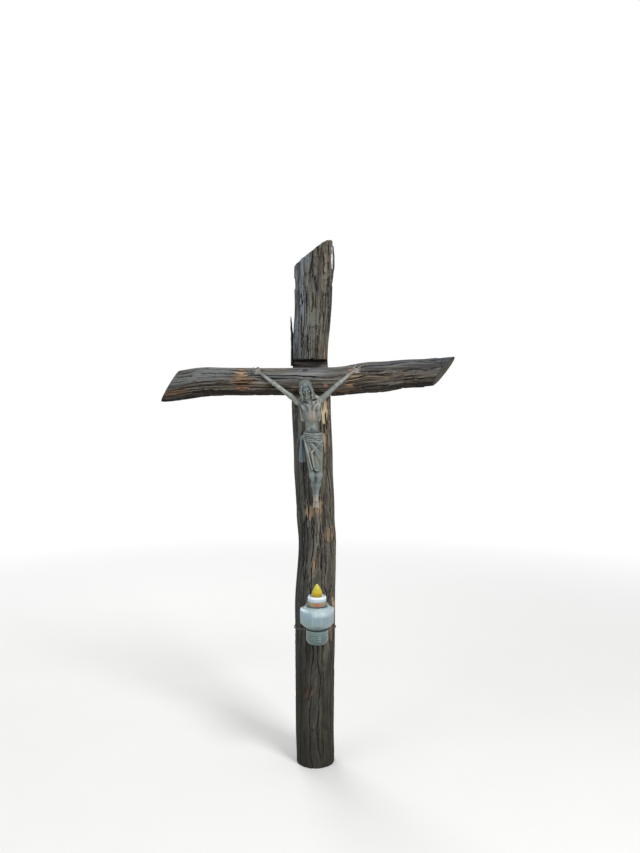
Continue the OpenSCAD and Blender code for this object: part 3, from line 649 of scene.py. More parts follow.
def bark_slab(name, middle, low, length, thick, top_thick, inner_r, seed):
    """Free slab of bark on the post's side, ragged along its edges and pointed at its upper end.
    The radius of its inner face follows a table by share of its length."""
    rows, across = 130, 17
    share = np.linspace(0, 1, rows)[:, None]
    z = low + length * share
    column = np.linspace(-1, 1, across)[None]
    half = 15 * (1 - 0.72 * share ** 2.2)
    half = half * (1 + 0.16 * noise(0.3, z, 5, 14, seed) + 0.1 * noise(0.7, z, 5, 5, seed + 1))
    turn = middle + column * half
    inner = eased(inner_r, share) + 0 * turn
    long = z + 0 * turn
    ridge = rough(turn / 360, long, seed + 2, (1.1, 150, 38), (0.6, 320, 12))
    body = (thick + (top_thick - thick) * share) * (1 - 0.5 * column ** 2) * ease(1.0, 0.93, share)
    outer = inner + np.maximum(body + ridge - 1.0, 0.9)
    loop_r = np.concatenate([inner[:, ::-1], outer], axis=1)
    loop_turn = np.radians(np.concatenate([turn[:, ::-1], turn], axis=1))
    loop_z = z + 4 * share * noise(loop_turn / 6.3, 0 * loop_r, 40, 9, seed + 4)
    grid = np.stack([post_x(z) + loop_r * np.cos(loop_turn), loop_r * np.sin(loop_turn), loop_z], axis=-1)
    points = np.concatenate([grid.reshape(-1, 3), [grid[0].mean(axis=0), grid[-1].mean(axis=0)]])
    # Painted shade on the slab's inner face, which faces the post, and in the furrows of its outer face;
    # across 0.1 gives it the bluish side tone of painted light.
    hollow = np.concatenate([np.full(turn.shape, 0.4), np.clip(0.3 - 0.3 * ridge, 0, 1)], axis=1)
    even = {"plate": 0.9, "flake": 0.6, "across": 0.1}
    masks = {key: np.full(len(points), value) for key, value in even.items()}
    masks["cavity_shade"] = np.append(hollow, [0.5, 0.5])
    return mesh_object(name, points, tube_faces(rows, 2 * across), masks, post_paint)


SLAB_LEFT_Z = BEAM_Z + BEAM_D / 2 + 6
SLAB_LEFT_R = [[0, float(post_r(SLAB_LEFT_Z)) + GAP], [0.35, 67], [0.6, 70.5], [0.8, 76], [1, 81]]
SLAB_RIGHT_R = [[0, 63], [0.25, 68], [0.45, 71.5], [0.66, 71], [0.85, 69], [1, 67]]
slab_left = bark_slab("bark_slab_left", 172, SLAB_LEFT_Z, 184, 8.5, 4, SLAB_LEFT_R, 900)
slab_right = bark_slab("bark_slab_right", 2, POST_H - 164, 149, 5.5, 6, SLAB_RIGHT_R, 930)
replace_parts(slab_left, "bark_strip_left")
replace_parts(slab_right, "bark_strip_right")
for piece in (post_part("post_foot", 0, SEAM_Z, 190, 14, 3),
              post_part("post_middle", SEAM_Z, SEAT_H, 300, 3, 14), upper_post()):
    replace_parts(piece, "post")


# Spots on the beam's front, by middle and half sizes along the beam and in height above its own middle
BEAM_BARE = [(-250, 24, 24, 22, 0.15), (-244, -12, 26, 24, 0), (150, 16, 20, 24, 0.5),
             (142, -14, 16, 12, 0), (-486, -24, 40, 9, 0), (122, -40, 26, 6, 0)]
BEAM_LICHEN = (-470, 16, 44, 16)
# Long cracks on the beam's front: height and place along it of both ends, half width and depth
BEAM_CRACKS = [(31, -486, 28, -422, 2.6, 4), (-12, -466, -14, -284, 2.6, 4), (14, -206, 12, -76, 2.4, 4),
               (-30, -500, -33, -300, 2.6, 4), (20, 204, 18, 262, 2.4, 4), (8, 210, 10, 300, 2.4, 4),
               (14, 328, 12, 452, 2.6, 4), (-33, 180, -30, 282, 3.2, 5), (-22, 330, -20, 420, 2.4, 4),
               (-20, -200, -24, -90, 2.6, 4), (30, -400, 28, -230, 2.0, 3)]
# Where the bark ends before the sawn right end, by height above the beam's middle
BARK_END = [[-60, 405], [-35, 428], [-18, 445], [0, 462], [15, 470], [35, 467], [60, 455]]


def beam():
    cols = 200
    tan_left = math.tan(math.radians(LEFT_CUT))
    left_x = CROSS_X - BEAM_LEFT + BEAM_D / 2 * tan_left
    right_x = CROSS_X + BEAM_RIGHT - BEAM_D / 2 * math.tan(math.radians(RIGHT_CUT))
    yaw, tilt = math.radians(RIGHT_TURN), math.radians(RIGHT_CUT)
    arm = np.linspace(0, 1, 150)
    spread = np.concatenate([arm, 1 + np.linspace(0, 1, 60)[1:], 2 + arm[1:]])
    rows = len(spread)
    grid_a = np.broadcast_to(np.linspace(0, 360, cols, endpoint=False), (rows, cols)).copy()
    turn = np.radians(grid_a)
    r_left = np.full(cols, BEAM_D / 2)
    r_right = r_left.copy()
    for _ in range(3):
        x_left = left_x + r_left * np.sin(turn[0]) * tan_left
        off = (math.sin(yaw) * r_right * np.cos(turn[0])
               + math.cos(yaw) * math.sin(tilt) * r_right * np.sin(turn[0]))
        x_right = right_x + off / (math.cos(yaw) * math.cos(tilt))
        hewn_from, hewn_to = np.full(cols, CROSS_X - HEWN_HALF), np.full(cols, CROSS_X + HEWN_HALF)
        stops = np.stack([x_left, hewn_from, hewn_to, x_right])
        i = np.minimum(spread.astype(int), 2)
        x = stops[i] + (stops[i + 1] - stops[i]) * (spread - i)[:, None]
        s = x - CROSS_X
        depth, masks = bark(BEAM_RIDGES, s, grid_a, 500, 5.0, 320, 0.1, 0.45)
        place = masks.pop("turn")
        tall = BEAM_D / 2 * np.sin(turn)
        front = np.where(np.cos(turn) < 0, tall, OFF_FRONT)
        depth = crack_lines(depth, masks, BEAM_CRACKS, front, s, place, 260)
        depth = strip_bark(depth, masks, BEAM_BARE, s, front, 80, place, 0.6)
        depth = depth + 4 * ease(-14, -34, tall) * np.clip(noise(place, s, 50, 12, 83) + 0.15, 0, 1)
        past = s - eased(BARK_END, tall) - 3 * noise(place, s, 40, 12, 81)
        chipped = ease(-3, 7, past)
        depth = depth + 0.8 * chipped * np.maximum(3.6 - depth, 0)
        # Painted shade: a dark line along the end of the bark, and the lower front of the beam darkened as
        # in the shade under it.
        cavity_shade = np.maximum(masks["cavity_shade"] * (1 - 0.5 * chipped), 0.7 * ease(5, 0, np.abs(past - 2)))
        masks["cavity_shade"] = np.maximum(cavity_shade, 0.6 * ease(-27, -38, tall))
        masks["slate"] = 0.35 * chipped + 0.4 * ease(120, 320, s) * ease(2, 26, tall)
        # Darker towards the left end of the beam.
        masks["damp"] = 0.3 * ease(-380, -470, s)
        # Painted sky light: paler and bluish on the top half of the beam.
        masks["sky"] = 0.3 * ease(-20, 20, tall) * ease(-0.2, 0.5, noise(place, s, 14, 130, 82))
        at_s, at_z, half_s, half_z = BEAM_LICHEN
        masks["lichen"] = ease(1.2, 0.6, np.hypot((s - at_s) / half_s, (front - at_z) / half_z))
        whole = BEAM_D / 2 + eased(BEAM_SWELL, s) - np.maximum(depth, 0.4)
        r_left, r_right = whole[0], whole[-1]
    y = BEAM_Y + whole * np.cos(turn)
    z = BEAM_Z + eased(BEAM_RISE, s) + whole * np.sin(turn)
    hewn = np.abs(s) < HEWN_HALF - 0.01
    cut = hewn & ((y > FLOOR_Y) | (z < SEAT_H))
    y = np.where(hewn, np.minimum(y, FLOOR_Y), y)
    z = np.where(hewn, np.maximum(z, SEAT_H), z)
    # Painted light by height: 0 for the dark brown underside in shade, 1 for the lit grey top, and lighter
    # on the lower front right of the post.
    masks["across"] = (0.5 + 0.5 * np.sin(turn)
                       + 0.3 * ease(30, 110, s) * ease(400, 300, s) * ease(0, -24, tall))
    masks["hewn"] = cut.astype(float)
    masks["cavity_shade"] = masks["cavity_shade"] * (1 - cut)
    grid = np.stack([x, y, z], axis=-1)
    slant = math.radians(LEFT_CUT)
    left_normal = np.array([-math.cos(slant), 0, math.sin(slant)])
    right_normal = np.array([math.cos(yaw) * math.cos(tilt), -math.sin(yaw),
                             -math.cos(yaw) * math.sin(tilt)])
    return log_piece("crossbeam_bark", beam_paint, masks, grid,
                     [(0, left_normal, True, 14), (rows - 1, right_normal, False, 14)], 4)


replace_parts(beam(), "crossbeam")


# Figure: shapes blended on a fine grid of distances and skinned, in the solid's drawing units
FIGURE = np.array([CROSS_X - 2, BEAM_Y - BEAM_D / 2 + 26, SEAT_H + 81])
SHOULDERS = [(-43, -104), (36, -99)]
ELBOWS = [(-111, -52), (94, -46)]
HANDS = [(-186, -1), (161, 4)]
SHOULDER_Y, ELBOW_Y = -37, -40
BODY_STEP, HEAD_STEP, ARM_STEP = 1.35, 0.8, 1.1
HEAD_BOX = ((-33, -38, -48), (33, 34, 38))
FEET_NAIL = (22, -468)


def cone(a, b, ra, rb, flat=1.0):
    """Limb between two points with a radius at each; flat thins it front to back."""
    a, b = np.array(a, float), np.array(b, float)
    d = (b - a) * (1, 1 / flat, 1)
    length = max(float(d @ d), 1e-6)

    def distance(x, y, z):
        px, py, pz = x - a[0], (y - a[1]) / flat, z - a[2]
        t = np.clip((px * d[0] + py * d[1] + pz * d[2]) / length, 0, 1)
        out = np.sqrt((px - t * d[0]) ** 2 + (py - t * d[1]) ** 2 + (pz - t * d[2]) ** 2)
        return (out - (ra + (rb - ra) * t)) * min(1, flat)
    r = max(ra, rb)
    return distance, np.minimum(a, b) - r, np.maximum(a, b) + r


def egg(at, size, lean=0.0):
    """Ellipsoid with three half sizes, leaning sideways in its own plane by an angle in degrees."""
    cx, cy, cz = at
    rx, ry, rz = size
    c, s = math.cos(math.radians(lean)), math.sin(math.radians(lean))

    def distance(x, y, z):
        px, py, pz = (x - cx) * c + (z - cz) * s, y - cy, (z - cz) * c - (x - cx) * s
        k = np.sqrt((px / rx) ** 2 + (py / ry) ** 2 + (pz / rz) ** 2) + 1e-6
        g = np.sqrt((px / rx ** 2) ** 2 + (py / ry ** 2) ** 2 + (pz / rz ** 2) ** 2) + 1e-6
        return k * (k - 1) / g
    r = max(rx, rz)
    return distance, np.array([cx - r, cy - ry, cz - r]), np.array([cx + r, cy + ry, cz + r])


def loft(table, low, high, fold, trim=None):
    """Cloth wound round: rows of height, middle x, middle y, half width and half depth."""
    rows = np.array(sorted(table), dtype=float)

    def distance(x, y, z):
        cx, cy, w, d = (np.interp(z, rows[:, 0], rows[:, k]) for k in (1, 2, 3, 4))
        u, v = (x - cx) / w, (y - cy) / d
        k = np.sqrt(u * u + v * v) + 1e-6
        out = k * (k - 1) / (np.sqrt((u / w) ** 2 + (v / d) ** 2) + 1e-6) - fold(x, y, z)
        out = np.maximum(out, np.maximum(low - z, z - high))
        return np.maximum(out, trim(x, y, z)) if trim else out
    reach = rows[:, 3:5].max(axis=0) + 4
    lo = np.array([(rows[:, 1]).min() - reach[0], rows[:, 2].min() - reach[1], low])
    hi = np.array([(rows[:, 1]).max() + reach[0], rows[:, 2].max() + reach[1], high])
    return distance, lo, hi


# Distance that a grid starts with, in drawing units
FAR = 12.0


class Clay:
    """Grid of distances to a surface that shapes are pressed on to or cut from."""

    def __init__(self, lo, hi, step):
        self.lo = np.array(lo, float)
        self.step = step
        count = np.ceil((np.array(hi) - self.lo) / step).astype(int) + 1
        self.phi = np.full(count, FAR, np.float32)

    def window(self, lo, hi, spare):
        first = np.maximum(np.floor((lo - spare - self.lo) / self.step).astype(int), 0)
        last = np.minimum(np.ceil((hi + spare - self.lo) / self.step).astype(int) + 1, self.phi.shape)
        part = tuple(slice(a, b) for a, b in zip(first, last))
        axes = [self.lo[k] + self.step * np.arange(first[k], last[k]) for k in range(3)]
        return part, axes[0][:, None, None], axes[1][None, :, None], axes[2][None, None, :]

    def blend(self, shape, k):
        """Add a shape with a soft seam of width k, or cut it away where k is negative."""
        distance, lo, hi = shape
        part, x, y, z = self.window(lo, hi, 4 + k if k > 0 else 1 - k)
        old, new = self.phi[part], math.copysign(1, k) * distance(x, y, z)
        t = np.clip(0.5 + 0.5 * (old - new) / k, 0, 1)
        self.phi[part] = old * (1 - t) + new * t - k * t * (1 - t)

    def work(self, *rows):
        """Limbs (two ends, two radii, seam, flatness) and lumps (middle, half sizes, seam, lean)."""
        for row in rows:
            if len(row) > 4:
                self.blend(cone(*row[:4], *row[5:]), row[4])
            else:
                self.blend(egg(*row[:2], *row[3:]), row[2])

    def press(self, lo, hi, relief):
        """Raise the surface by a relief given as a function of place, in a box with soft edges."""
        lo, hi = np.array(lo, float), np.array(hi, float)
        part, x, y, z = self.window(lo, hi, 0)
        near = np.ones(self.phi[part].shape)
        for k, axis in enumerate((x, y, z)):
            soft = min(5.0, (hi[k] - lo[k]) / 4)
            near = near * ease(lo[k], lo[k] + soft, axis) * ease(hi[k], hi[k] - soft, axis)
        self.phi[part] -= (near * relief(x, y, z)).astype(np.float32)

    def skin(self):
        grid = openvdb.FloatGrid()
        grid.background = FAR
        grid.copyFromArray(self.phi)
        points, tris, quads = grid.convertToPolygons(isovalue=0.0, adaptivity=0.0)
        # Raised places wear bright and hollows stay dark: the distance against its own average
        blurred = self.phi.astype(np.float32)
        for axis in range(3):
            for reach in (1, 2, 3):
                blurred = (np.roll(blurred, reach, axis) + blurred + np.roll(blurred, -reach, axis)) / 3
        index = np.clip(np.round(points).astype(int), 0, np.array(self.phi.shape) - 1)
        worn = (blurred - self.phi)[index[:, 0], index[:, 1], index[:, 2]] / self.step
        points = self.lo + self.step * points
        return points, [quads, tris], {"worn": np.clip(0.5 + 0.55 * worn, 0, 1)}


def rib_relief(x, y, z):
    side = np.abs(x - 3.5)
    arc = z + 0.42 * side - 0.004 * side ** 2
    along = np.sin((arc + 4) / 8.6 * 2 * math.pi)
    return 0.12 * along * ease(4, 14, side) * ease(-186, -176, arc) * ease(-118, -128, arc)


def chest_relief(x, y, z):
    """Fibres of the stretched chest and flanks, running towards the raised arms."""
    left = np.arctan2(x + 46, -(z + 88))
    right = np.arctan2(38 - x, -(z + 84))
    fan = np.where(x < 1, np.sin(left * 15), np.sin(right * 17 + 0.6 * np.sin(z / 9)))
    return 1.0 * fan * ease(2, 10, np.abs(x - 1)) * ease(-172, -150, z) * ease(-100, -108, z)


def band_fold(x, y, z):
    sag = 3.2 * (1 - ((x - 11) / 36) ** 2)
    wave = np.sin((z + sag + 0.05 * x) / 6.4 * 2 * math.pi)
    return 1.3 * wave + 0.4 * np.sin(x / 7 + z / 3)


def skirt_fold(x, y, z):
    turn = np.arctan2(-(z + 224), x + 24)
    far = np.hypot(x + 24, z + 224)
    wave = np.sin(turn * 17 + 0.6 * np.sin(far / 19))
    return (1.3 * wave + 0.4 * np.sin(turn * 41 + 1)) * ease(20, 60, far) * ease(-12, -34, y)


def tail_fold(x, y, z):
    return 0.8 * np.sin((x + 0.06 * (z + 280)) / 1.7 + 0.5 * np.sin(z / 17)) * ease(-12, -22, y)


def body_clay():
    clay = Clay((-58, -76, -500), (54, 2, -70), BODY_STEP)
    # Chest, belly and hips
    clay.work(
        ((3.5, -37, -142), (34, 20, 35), 3), ((3, -35, -116), (34, 14, 17), 8),
        ((4, -36, -165), (8, -37, -220), 22, 23, 8, 0.78), ((8.5, -36, -226), (31, 19, 20), 8),
        ((-14, -49, -124), (18, 8, 14), 6, -16), ((21, -49, -121), (18, 8, 14), 6, 16),
        ((-29, -32, -118), (-24, -33, -168), 10, 7.5, 6), ((33, -32, -114), (30, -33, -168), 10, 7.5, 6))
    for (x, z), side in zip(SHOULDERS, (-1, 1)):
        clay.work(
            ((x, SHOULDER_Y, z), (3 + 22 * side, -37, -114), 13, 14, 7),
            ((3 + 4 * side, -49, -105), (x * 0.8, -45, z - 1), 2.6, 2.2, 5))
    clay.work(
        ((-1, -40, -108), (-11, -52, -80), 13, 12, 6),
        # Muscle from the neck to each shoulder
        ((2, -42, -76), (32, -37, -94), 7.5, 8, 6), ((-16, -42, -84), (-38, -37, -98), 8, 8, 6),
        # Edge of the ribs, hollow belly and navel
        ((4.5, -63.5, -180), (15, 7, 14), -10), ((6.5, -49, -203), (16, 7.5, 17), 5),
        ((5.8, -57.6, -203), (1.6, 2.6, 2.4), -1.2), ((3.5, -60.8, -112), (4.5, -60.4, -150), 2, 1.6, -3),
        ((4.6, -59.9, -160), (5.6, -58.9, -198), 1.4, 1.2, -3), ((-9, -57.5, -130), (1.6, 1.2, 1.6), 1.5),
        ((17, -57.5, -128), (1.6, 1.2, 1.6), 1.5))
    clay.press((-36, -70, -190), (44, -28, -122), rib_relief)
    clay.press((-36, -72, -176), (44, -34, -98), chest_relief)
    # Legs, knees together, right foot laid over the left
    ground = -float(post_r(FIGURE[2] + FEET_NAIL[1])) - FIGURE[1]
    legs = [[(-6, -37, -245), (10, -41, -366), (14.5, ground / 2 - 24.5, -402),
             (17, ground - 9, -442), (18, ground - 5, -482)],
            [(26, -38, -245), (32, -43, -366), (27.5, ground / 2 - 30.5, -402),
             (24, ground - 19, -442), (24, ground - 15, -480)]]
    for side, leg in zip((-1, 1), legs):
        hip, knee, calf, heel, toes = np.array(leg, float)
        clay.work(
            (hip, knee, 18.5, 11.2, 5), (knee - (0, 3, 4), (7.5, 7, 16), 10), (knee, calf, 10.6, 9, 10),
            (calf, heel, 9, 6.4, 10), (knee - (0, 8, 9), heel + (0, -4, 8), 2.6, 1.6, 3),
            (heel + (-5.6, -1, 3), (2.4, 3, 3), 2), (heel + (5.6, -1, 1), (2.4, 3, 3), 2),
            (heel, toes + (0, 0, 8), 6.6, 6.2, 4, 0.85), (heel + (0, -4, 2), toes + (0, -2, 4), 3.4, 3, 3))
        for i in range(5):
            x = toes[0] + side * (6.2 - 2.9 * i)
            tip = toes[2] + 1 - (8.5 - 1.1 * i)
            r = 2.1 - 0.28 * i + (0.25 if i == 0 else 0)
            root = (x * 0.9 + toes[0] * 0.1, toes[1] - 1, toes[2] + 7)
            clay.work((root, (x, toes[1] - 0.5, tip), r, r, 0.8),
                      ((x, toes[1] - 1.2, tip), (r + 0.35, r + 0.2, r + 0.2), 0.6))
    clay.work(((20.5, -46, -350), (21.5, -52, -395), 1.2, 1.6, -2.5))
    # Cloth: band of level folds, skirt that falls from a knot, hem along its open edge, hanging end
    skirt = [(-349, 23, -44, 15, 15), (-330, 22, -43, 19, 18), (-300, 18, -41, 26, 21),
             (-276, 13, -39, 33, 23), (-245, 11.5, -37, 35, 24), (-216, 10, -37, 33, 21)]
    band = [(-246, 11, -37, 36.5, 25), (-216, 10, -37, 34, 22.5)]
    tail = [(-324, -28.5, -22, 11.5, 5), (-290, -28.5, -25, 11, 5.5), (-250, -28, -32, 8, 6.5),
            (-228, -27, -38, 7, 7)]

    def open_edge(x, y, z):
        slant = (x + 22) * -0.968 + (z + 230) * -0.252
        foot = (-(z + 348) - 0.18 * (x - 9)) * 0.98
        return np.maximum(slant, foot - 1.5 * np.sin(x / 3.2))

    def ragged_foot(x, y, z):
        return -(z + 322) + 1.6 * np.sin(x / 2.1)
    clay.blend(loft(skirt, -352, -222, skirt_fold, open_edge), 1.6)
    clay.work(
        ((-22, -50, -236), (-8, -59.5, -284), 2.6, 2.8, 3),
        ((-8, -59.5, -284), (8, -59.5, -346), 2.8, 2.4, 3))
    clay.blend(loft(band, -246, -215, band_fold), 1.6)
    clay.work(
        ((40, -50, -246), (6, -62, -284), 4.5, 3.2, 3.5), ((6, -62, -284), (14, -61, -338), 3.2, 2, 4),
        ((2, -67, -281), (9, -66, -322), 1.8, 1.2, -1.5), ((-22, -45, -229), (6.5, 8, 5.5), 3, 20),
        ((-27, -41, -236), (5, 6, 8), 2.5, -20), ((-27, -56, -226), (-18, -57, -236), 0.9, 0.9, -1.2))
    clay.blend(loft(tail, -324, -226, tail_fold, ragged_foot), 1.5)
    return clay


def beard_relief(x, y, z):
    return 0.55 * np.sin((x + 0.8 * np.sin(z / 2.4)) * 2.3 + z * 0.35 * np.sign(x))


def hair_relief(x, y, z):
    """Strands from the crown down to the shoulders."""
    top = np.arctan2(y - 4, np.abs(x) + 2)
    crown = np.sin(top * 26 + 1.2 * np.sin(z / 5))
    fall = np.sin(np.arctan2(y + 2, np.abs(x)) * 30 + 0.7 * np.sin(z / 4.2) + 0.12 * z)
    upper = ease(8, 18, z)
    return 0.4 * (crown * upper + fall * (1 - upper))


def head_clay():
    clay = Clay(*HEAD_BOX, HEAD_STEP)
    clay.work(((0, 3, 8), (18.5, 22, 19.5), 3), ((0, -5.5, -8), (14, 14.5, 19), 5))
    for side in (-1, 1):
        clay.work(
            ((10.5 * side, -3, -13), (2.5 * side, -14.5, -25.5), 4.6, 4.4, 4),
            ((9.6 * side, -14.2, -6.5), (4.4, 4.2, 3.8), 4),
            ((2.5 * side, -20.2, 3.2), (9.5 * side, -17.2, 3.4), 1.7, 1.5, 2.6),
            ((6.6 * side, -22.6, -1.2), (4, 3.3, 2.8), -2),
            ((6.6 * side, -18, -1.4), (3.5, 2.9, 2.4), 0.8),
            ((3.9 * side, -21.2, -2.9), (9.2 * side, -20.2, -2.8), 0.4, 0.4, -0.5))
    clay.work(((0, -19.6, 1.5), (0, -25.2, -9.2), 1.7, 2.1, 1.8))
    for side in (-1, 1):
        clay.work(
            ((2.3 * side, -23.2, -10), (1.7, 1.9, 1.5), 1),
            ((1.3 * side, -24.4, -11.6), (0.7, 0.9, 0.7), -0.5),
            ((0.6 * side, -22.6, -14), (7.4 * side, -18.6, -19.5), 1.5, 1, 1.2))
    clay.work(
        ((-3.4, -21, -16.6), (3.4, -21, -16.6), 1.2, 1.2, 1),
        ((-2.8, -21.2, -19.2), (2.8, -21.2, -19.2), 1.4, 1.4, 1),
        ((-3.8, -22.6, -17.8), (3.8, -22.6, -17.8), 0.45, 0.45, -0.6),
        # Short beard, parted at the chin
        ((0, -12.5, -28), (10.5, 9, 9.5), 3), ((-3.2, -15.5, -27), (-2.6, -15.5, -40), 4.4, 2.4, 2),
        ((3.2, -15.5, -27), (2.6, -15.5, -40), 4.4, 2.4, 2))
    for side in (-1, 1):
        clay.work(((12.5 * side, -5, -9), (8 * side, -12, -26), 3, 3.6, 2.5))
    clay.press((-17, -30, -44), (17, -2, -15.5), beard_relief)
    # Hair parted in the middle and falling in locks to the shoulders
    hair = Clay(*HEAD_BOX, HEAD_STEP)
    hair.work(
        ((-1, 5, 10), (23, 23.5, 21.5), 3), ((-3, 10, -8), (22, 16, 24), 5),
        ((15, 6, -10), (27, 12, -34), 7.5, 4.5, 5))
    for side in (-1, 1):
        for i in range(5):
            back = i * 5.2
            sway = 1.6 * math.sin(i * 2.3 + side)
            top = (13.5 * side + 0.9 * i * side, -15 + back, 14)
            mid = ((19.5 + 0.6 * sway) * side, -12 + back, -8)
            low = ((17 + sway) * side, -11.5 + back * 0.95, -24)
            end = ((18.5 - 0.8 * sway) * side, -10 + back * 0.9, -38 + 1.5 * math.sin(i * 1.7))
            hair.work((top, mid, 3.6, 4.4, 4), (mid, low, 4.4, 4.2, 4), (low, end, 4.2, 2.4, 3.5))
    hair.work(
        ((0, -24, -9), (13.8, 17, 24.5), -1.6), ((0, -22, 30), (0, -4, 33), 0.9, 0.9, -1.5),
        # Locks behind the beard that cover the neck
        ((0, 2, -30), (18, 8.5, 12), 4), ((14, 3, -20), (25, 6, -40), 7, 5, 4))
    for side in (-1, 1):
        hair.work(((12 * side, -4, -22), (11 * side, -5, -40), 5, 3.2, 3))
    hair.press(*HEAD_BOX, hair_relief)
    clay.phi = np.minimum(clay.phi, hair.phi)
    return clay


def arm_clay(side):
    out = -1 if side == 0 else 1
    (sx, sz), (ex, ez), (hx, hz) = SHOULDERS[side], ELBOWS[side], HANDS[side]
    shoulder = np.array([sx, SHOULDER_Y, sz], float)
    elbow = np.array([ex, ELBOW_Y, ez], float)

    def place(x, z, off):
        at = (FIGURE[0] + hx + out * x, FIGURE[2] + hz + z)
        rise = BEAM_Z + float(eased(BEAM_RISE, at[0] - CROSS_X))
        r = BEAM_D / 2 + float(eased(BEAM_SWELL, at[0] - CROSS_X))
        turn = math.asin(max(-0.9, min(0.9, (at[1] - rise) / r)))
        r = r + 1.1 + off
        return np.array([at[0], BEAM_Y - r * math.cos(turn), rise + r * math.sin(turn)]) - FIGURE
    wrist = place(-13, -9, 6.5)
    reach = np.array([shoulder, elbow, wrist, place(22, 12, 6)])
    clay = Clay(reach.min(axis=0) - (15, 16, 26), reach.max(axis=0) + (15, 16, 16), ARM_STEP)
    along = (elbow - shoulder) / np.linalg.norm(elbow - shoulder)
    start = shoulder + along * 0.6
    upper = np.array([-along[2], 0, along[0]])
    if upper[2] < 0:
        upper = -upper

    def at(t, lift=0.0, front=0.0):
        return start + (elbow - start) * t + upper * lift + (0, -front, 0)

    def low(t, lift=0.0, front=0.0):
        return elbow + (wrist - elbow) * t + upper * lift + (0, -front, 0)
    clay.work(
        (at(0), at(0.4), 12, 9.6, 3), (at(0.4), at(1), 9.4, 7, 4),
        (at(0.1, 1, 2), at(0.32, 0.5, 3), 10, 6.4, 3),
        (at(0.42, 0.5, 3.5), at(0.74, 0, 3), 6.2, 4.8, 2.5), (at(0.3, -3, 0), at(0.75, -2, 0), 6.6, 5, 3),
        (low(0), low(0.28), 7.2, 7.4, 4), (low(0.28), low(1), 7.4, 4.4, 4),
        (low(0.08, 1.5, 1.5), low(0.5, 1, 1), 5.2, 3.4, 2.5),
        (low(0.12, -2, 1), low(0.6, -1, 1), 4.6, 3, 2.5),
        (low(0.55, 0.8, 2.5), low(0.98, 0.8, 2.8), 1.5, 1.2, 1.6),
        (low(0.55, -1.6, 2.2), low(0.98, -1.4, 2.4), 1.4, 1.1, 1.6),
        # Palm, ball of the thumb, fingers that curl a little off the bark
        (wrist, place(-4, -1, 4.5), 4.8, 4.6, 3), (place(-4, -4, 4), place(7, -6, 3.4), 4.2, 3.6, 3),
        (place(-3, 6, 4), place(7, 5, 3.4), 4.4, 3.4, 3), (place(0, 0, 3.4), place(6, 0, 3.2), 4, 3.4, 3),
        (place(2, 0.5, 9.2), (5, 3.6, 4.4), -2.5))
    for k in range(4):
        root = place(7.5 + 0.5 * k, 6.6 - 4.2 * k, 3.2)
        knuckle = place(13.5 - 0.5 * abs(k - 1), 8.6 - 5 * k, 4.6)
        joint = place(18 - abs(k - 1), 10 - 5.5 * k, 6.4)
        tip = place(20 - 1.5 * abs(k - 1), 10.8 - 5.8 * k, 9.6)
        r = (2.25, 2.35, 2.25, 1.95)[k]
        clay.work(
            (root, knuckle, r + 0.15, r, 1.2), (knuckle, joint, r, r - 0.1, 0.8),
            (joint, tip, r - 0.1, r - 0.4, 0.8))
    clay.work(
        (place(-5, 5, 4.5), place(0, 13, 5), 3.5, 2.7, 2),
        (place(0, 13, 5), place(5, 18.5, 6.5), 2.6, 2, 0.8))
    return clay


def metal_paint():
    """Silver-grey casting, bright where it is worn, dark in its hollows, with drips down the chest, painted
    shade where its shade mask is, and a pale pinkish tint of painted sunlight, streaked like drips, on the
    feet and hands.
    """
    paint = Paint("cast_metal")
    worn = paint.attribute("worn")
    mottle = paint.noise(130, 6, 0.65)
    drip = paint.noise(75, 5, 0.6, paint.scaled(1, 1, 0.16))
    tone = paint.layers((80, 93, 95), (paint.noise(22, 5), (0.4, 0), (0.62, 1), (107, 108, 98)))
    drips = paint.times(paint.ramp(paint.attribute("chest"), (0, 0), (1, 1)),
                        paint.ramp(drip, (0.44, 0), (0.6, 0.9)))
    tone = paint.mix(drips, tone, (158, 146, 136))
    tone = paint.layers(
        tone,
        (paint.noise(46, 5, 0.6), (0.56, 0), (0.7, 0.5), (112, 100, 88)),
        (drip, (0.3, 0.55), (0.44, 0), (70, 86, 88)),
        (mottle, (0.32, 0.45), (0.5, 0), (64, 76, 76)))
    tone = paint.mix(paint.times(paint.attribute("shade"), 0.75), tone, (72, 92, 96))
    # Painted sunlight: a pale pinkish tint on the feet and hands.
    feet = paint.times(paint.attribute("feet"), paint.ramp(drip, (0.4, 0.2), (0.58, 1)))
    tone = paint.layers(
        paint.mix(feet, tone, (164, 148, 138)),
        (worn, (0.1, 1), (0.49, 0), (24, 34, 36)),
        (worn, (0.56, 0), (1, 0.6), (156, 160, 154)))
    paint.set(Base_Color=tone, Metallic=0.3, Roughness=paint.ramp(mottle, (0.3, 0.62), (0.7, 0.45)))
    paint.bump(paint.plus(paint.noise(500, 5), mottle), 0.3, 0.0006)
    return paint


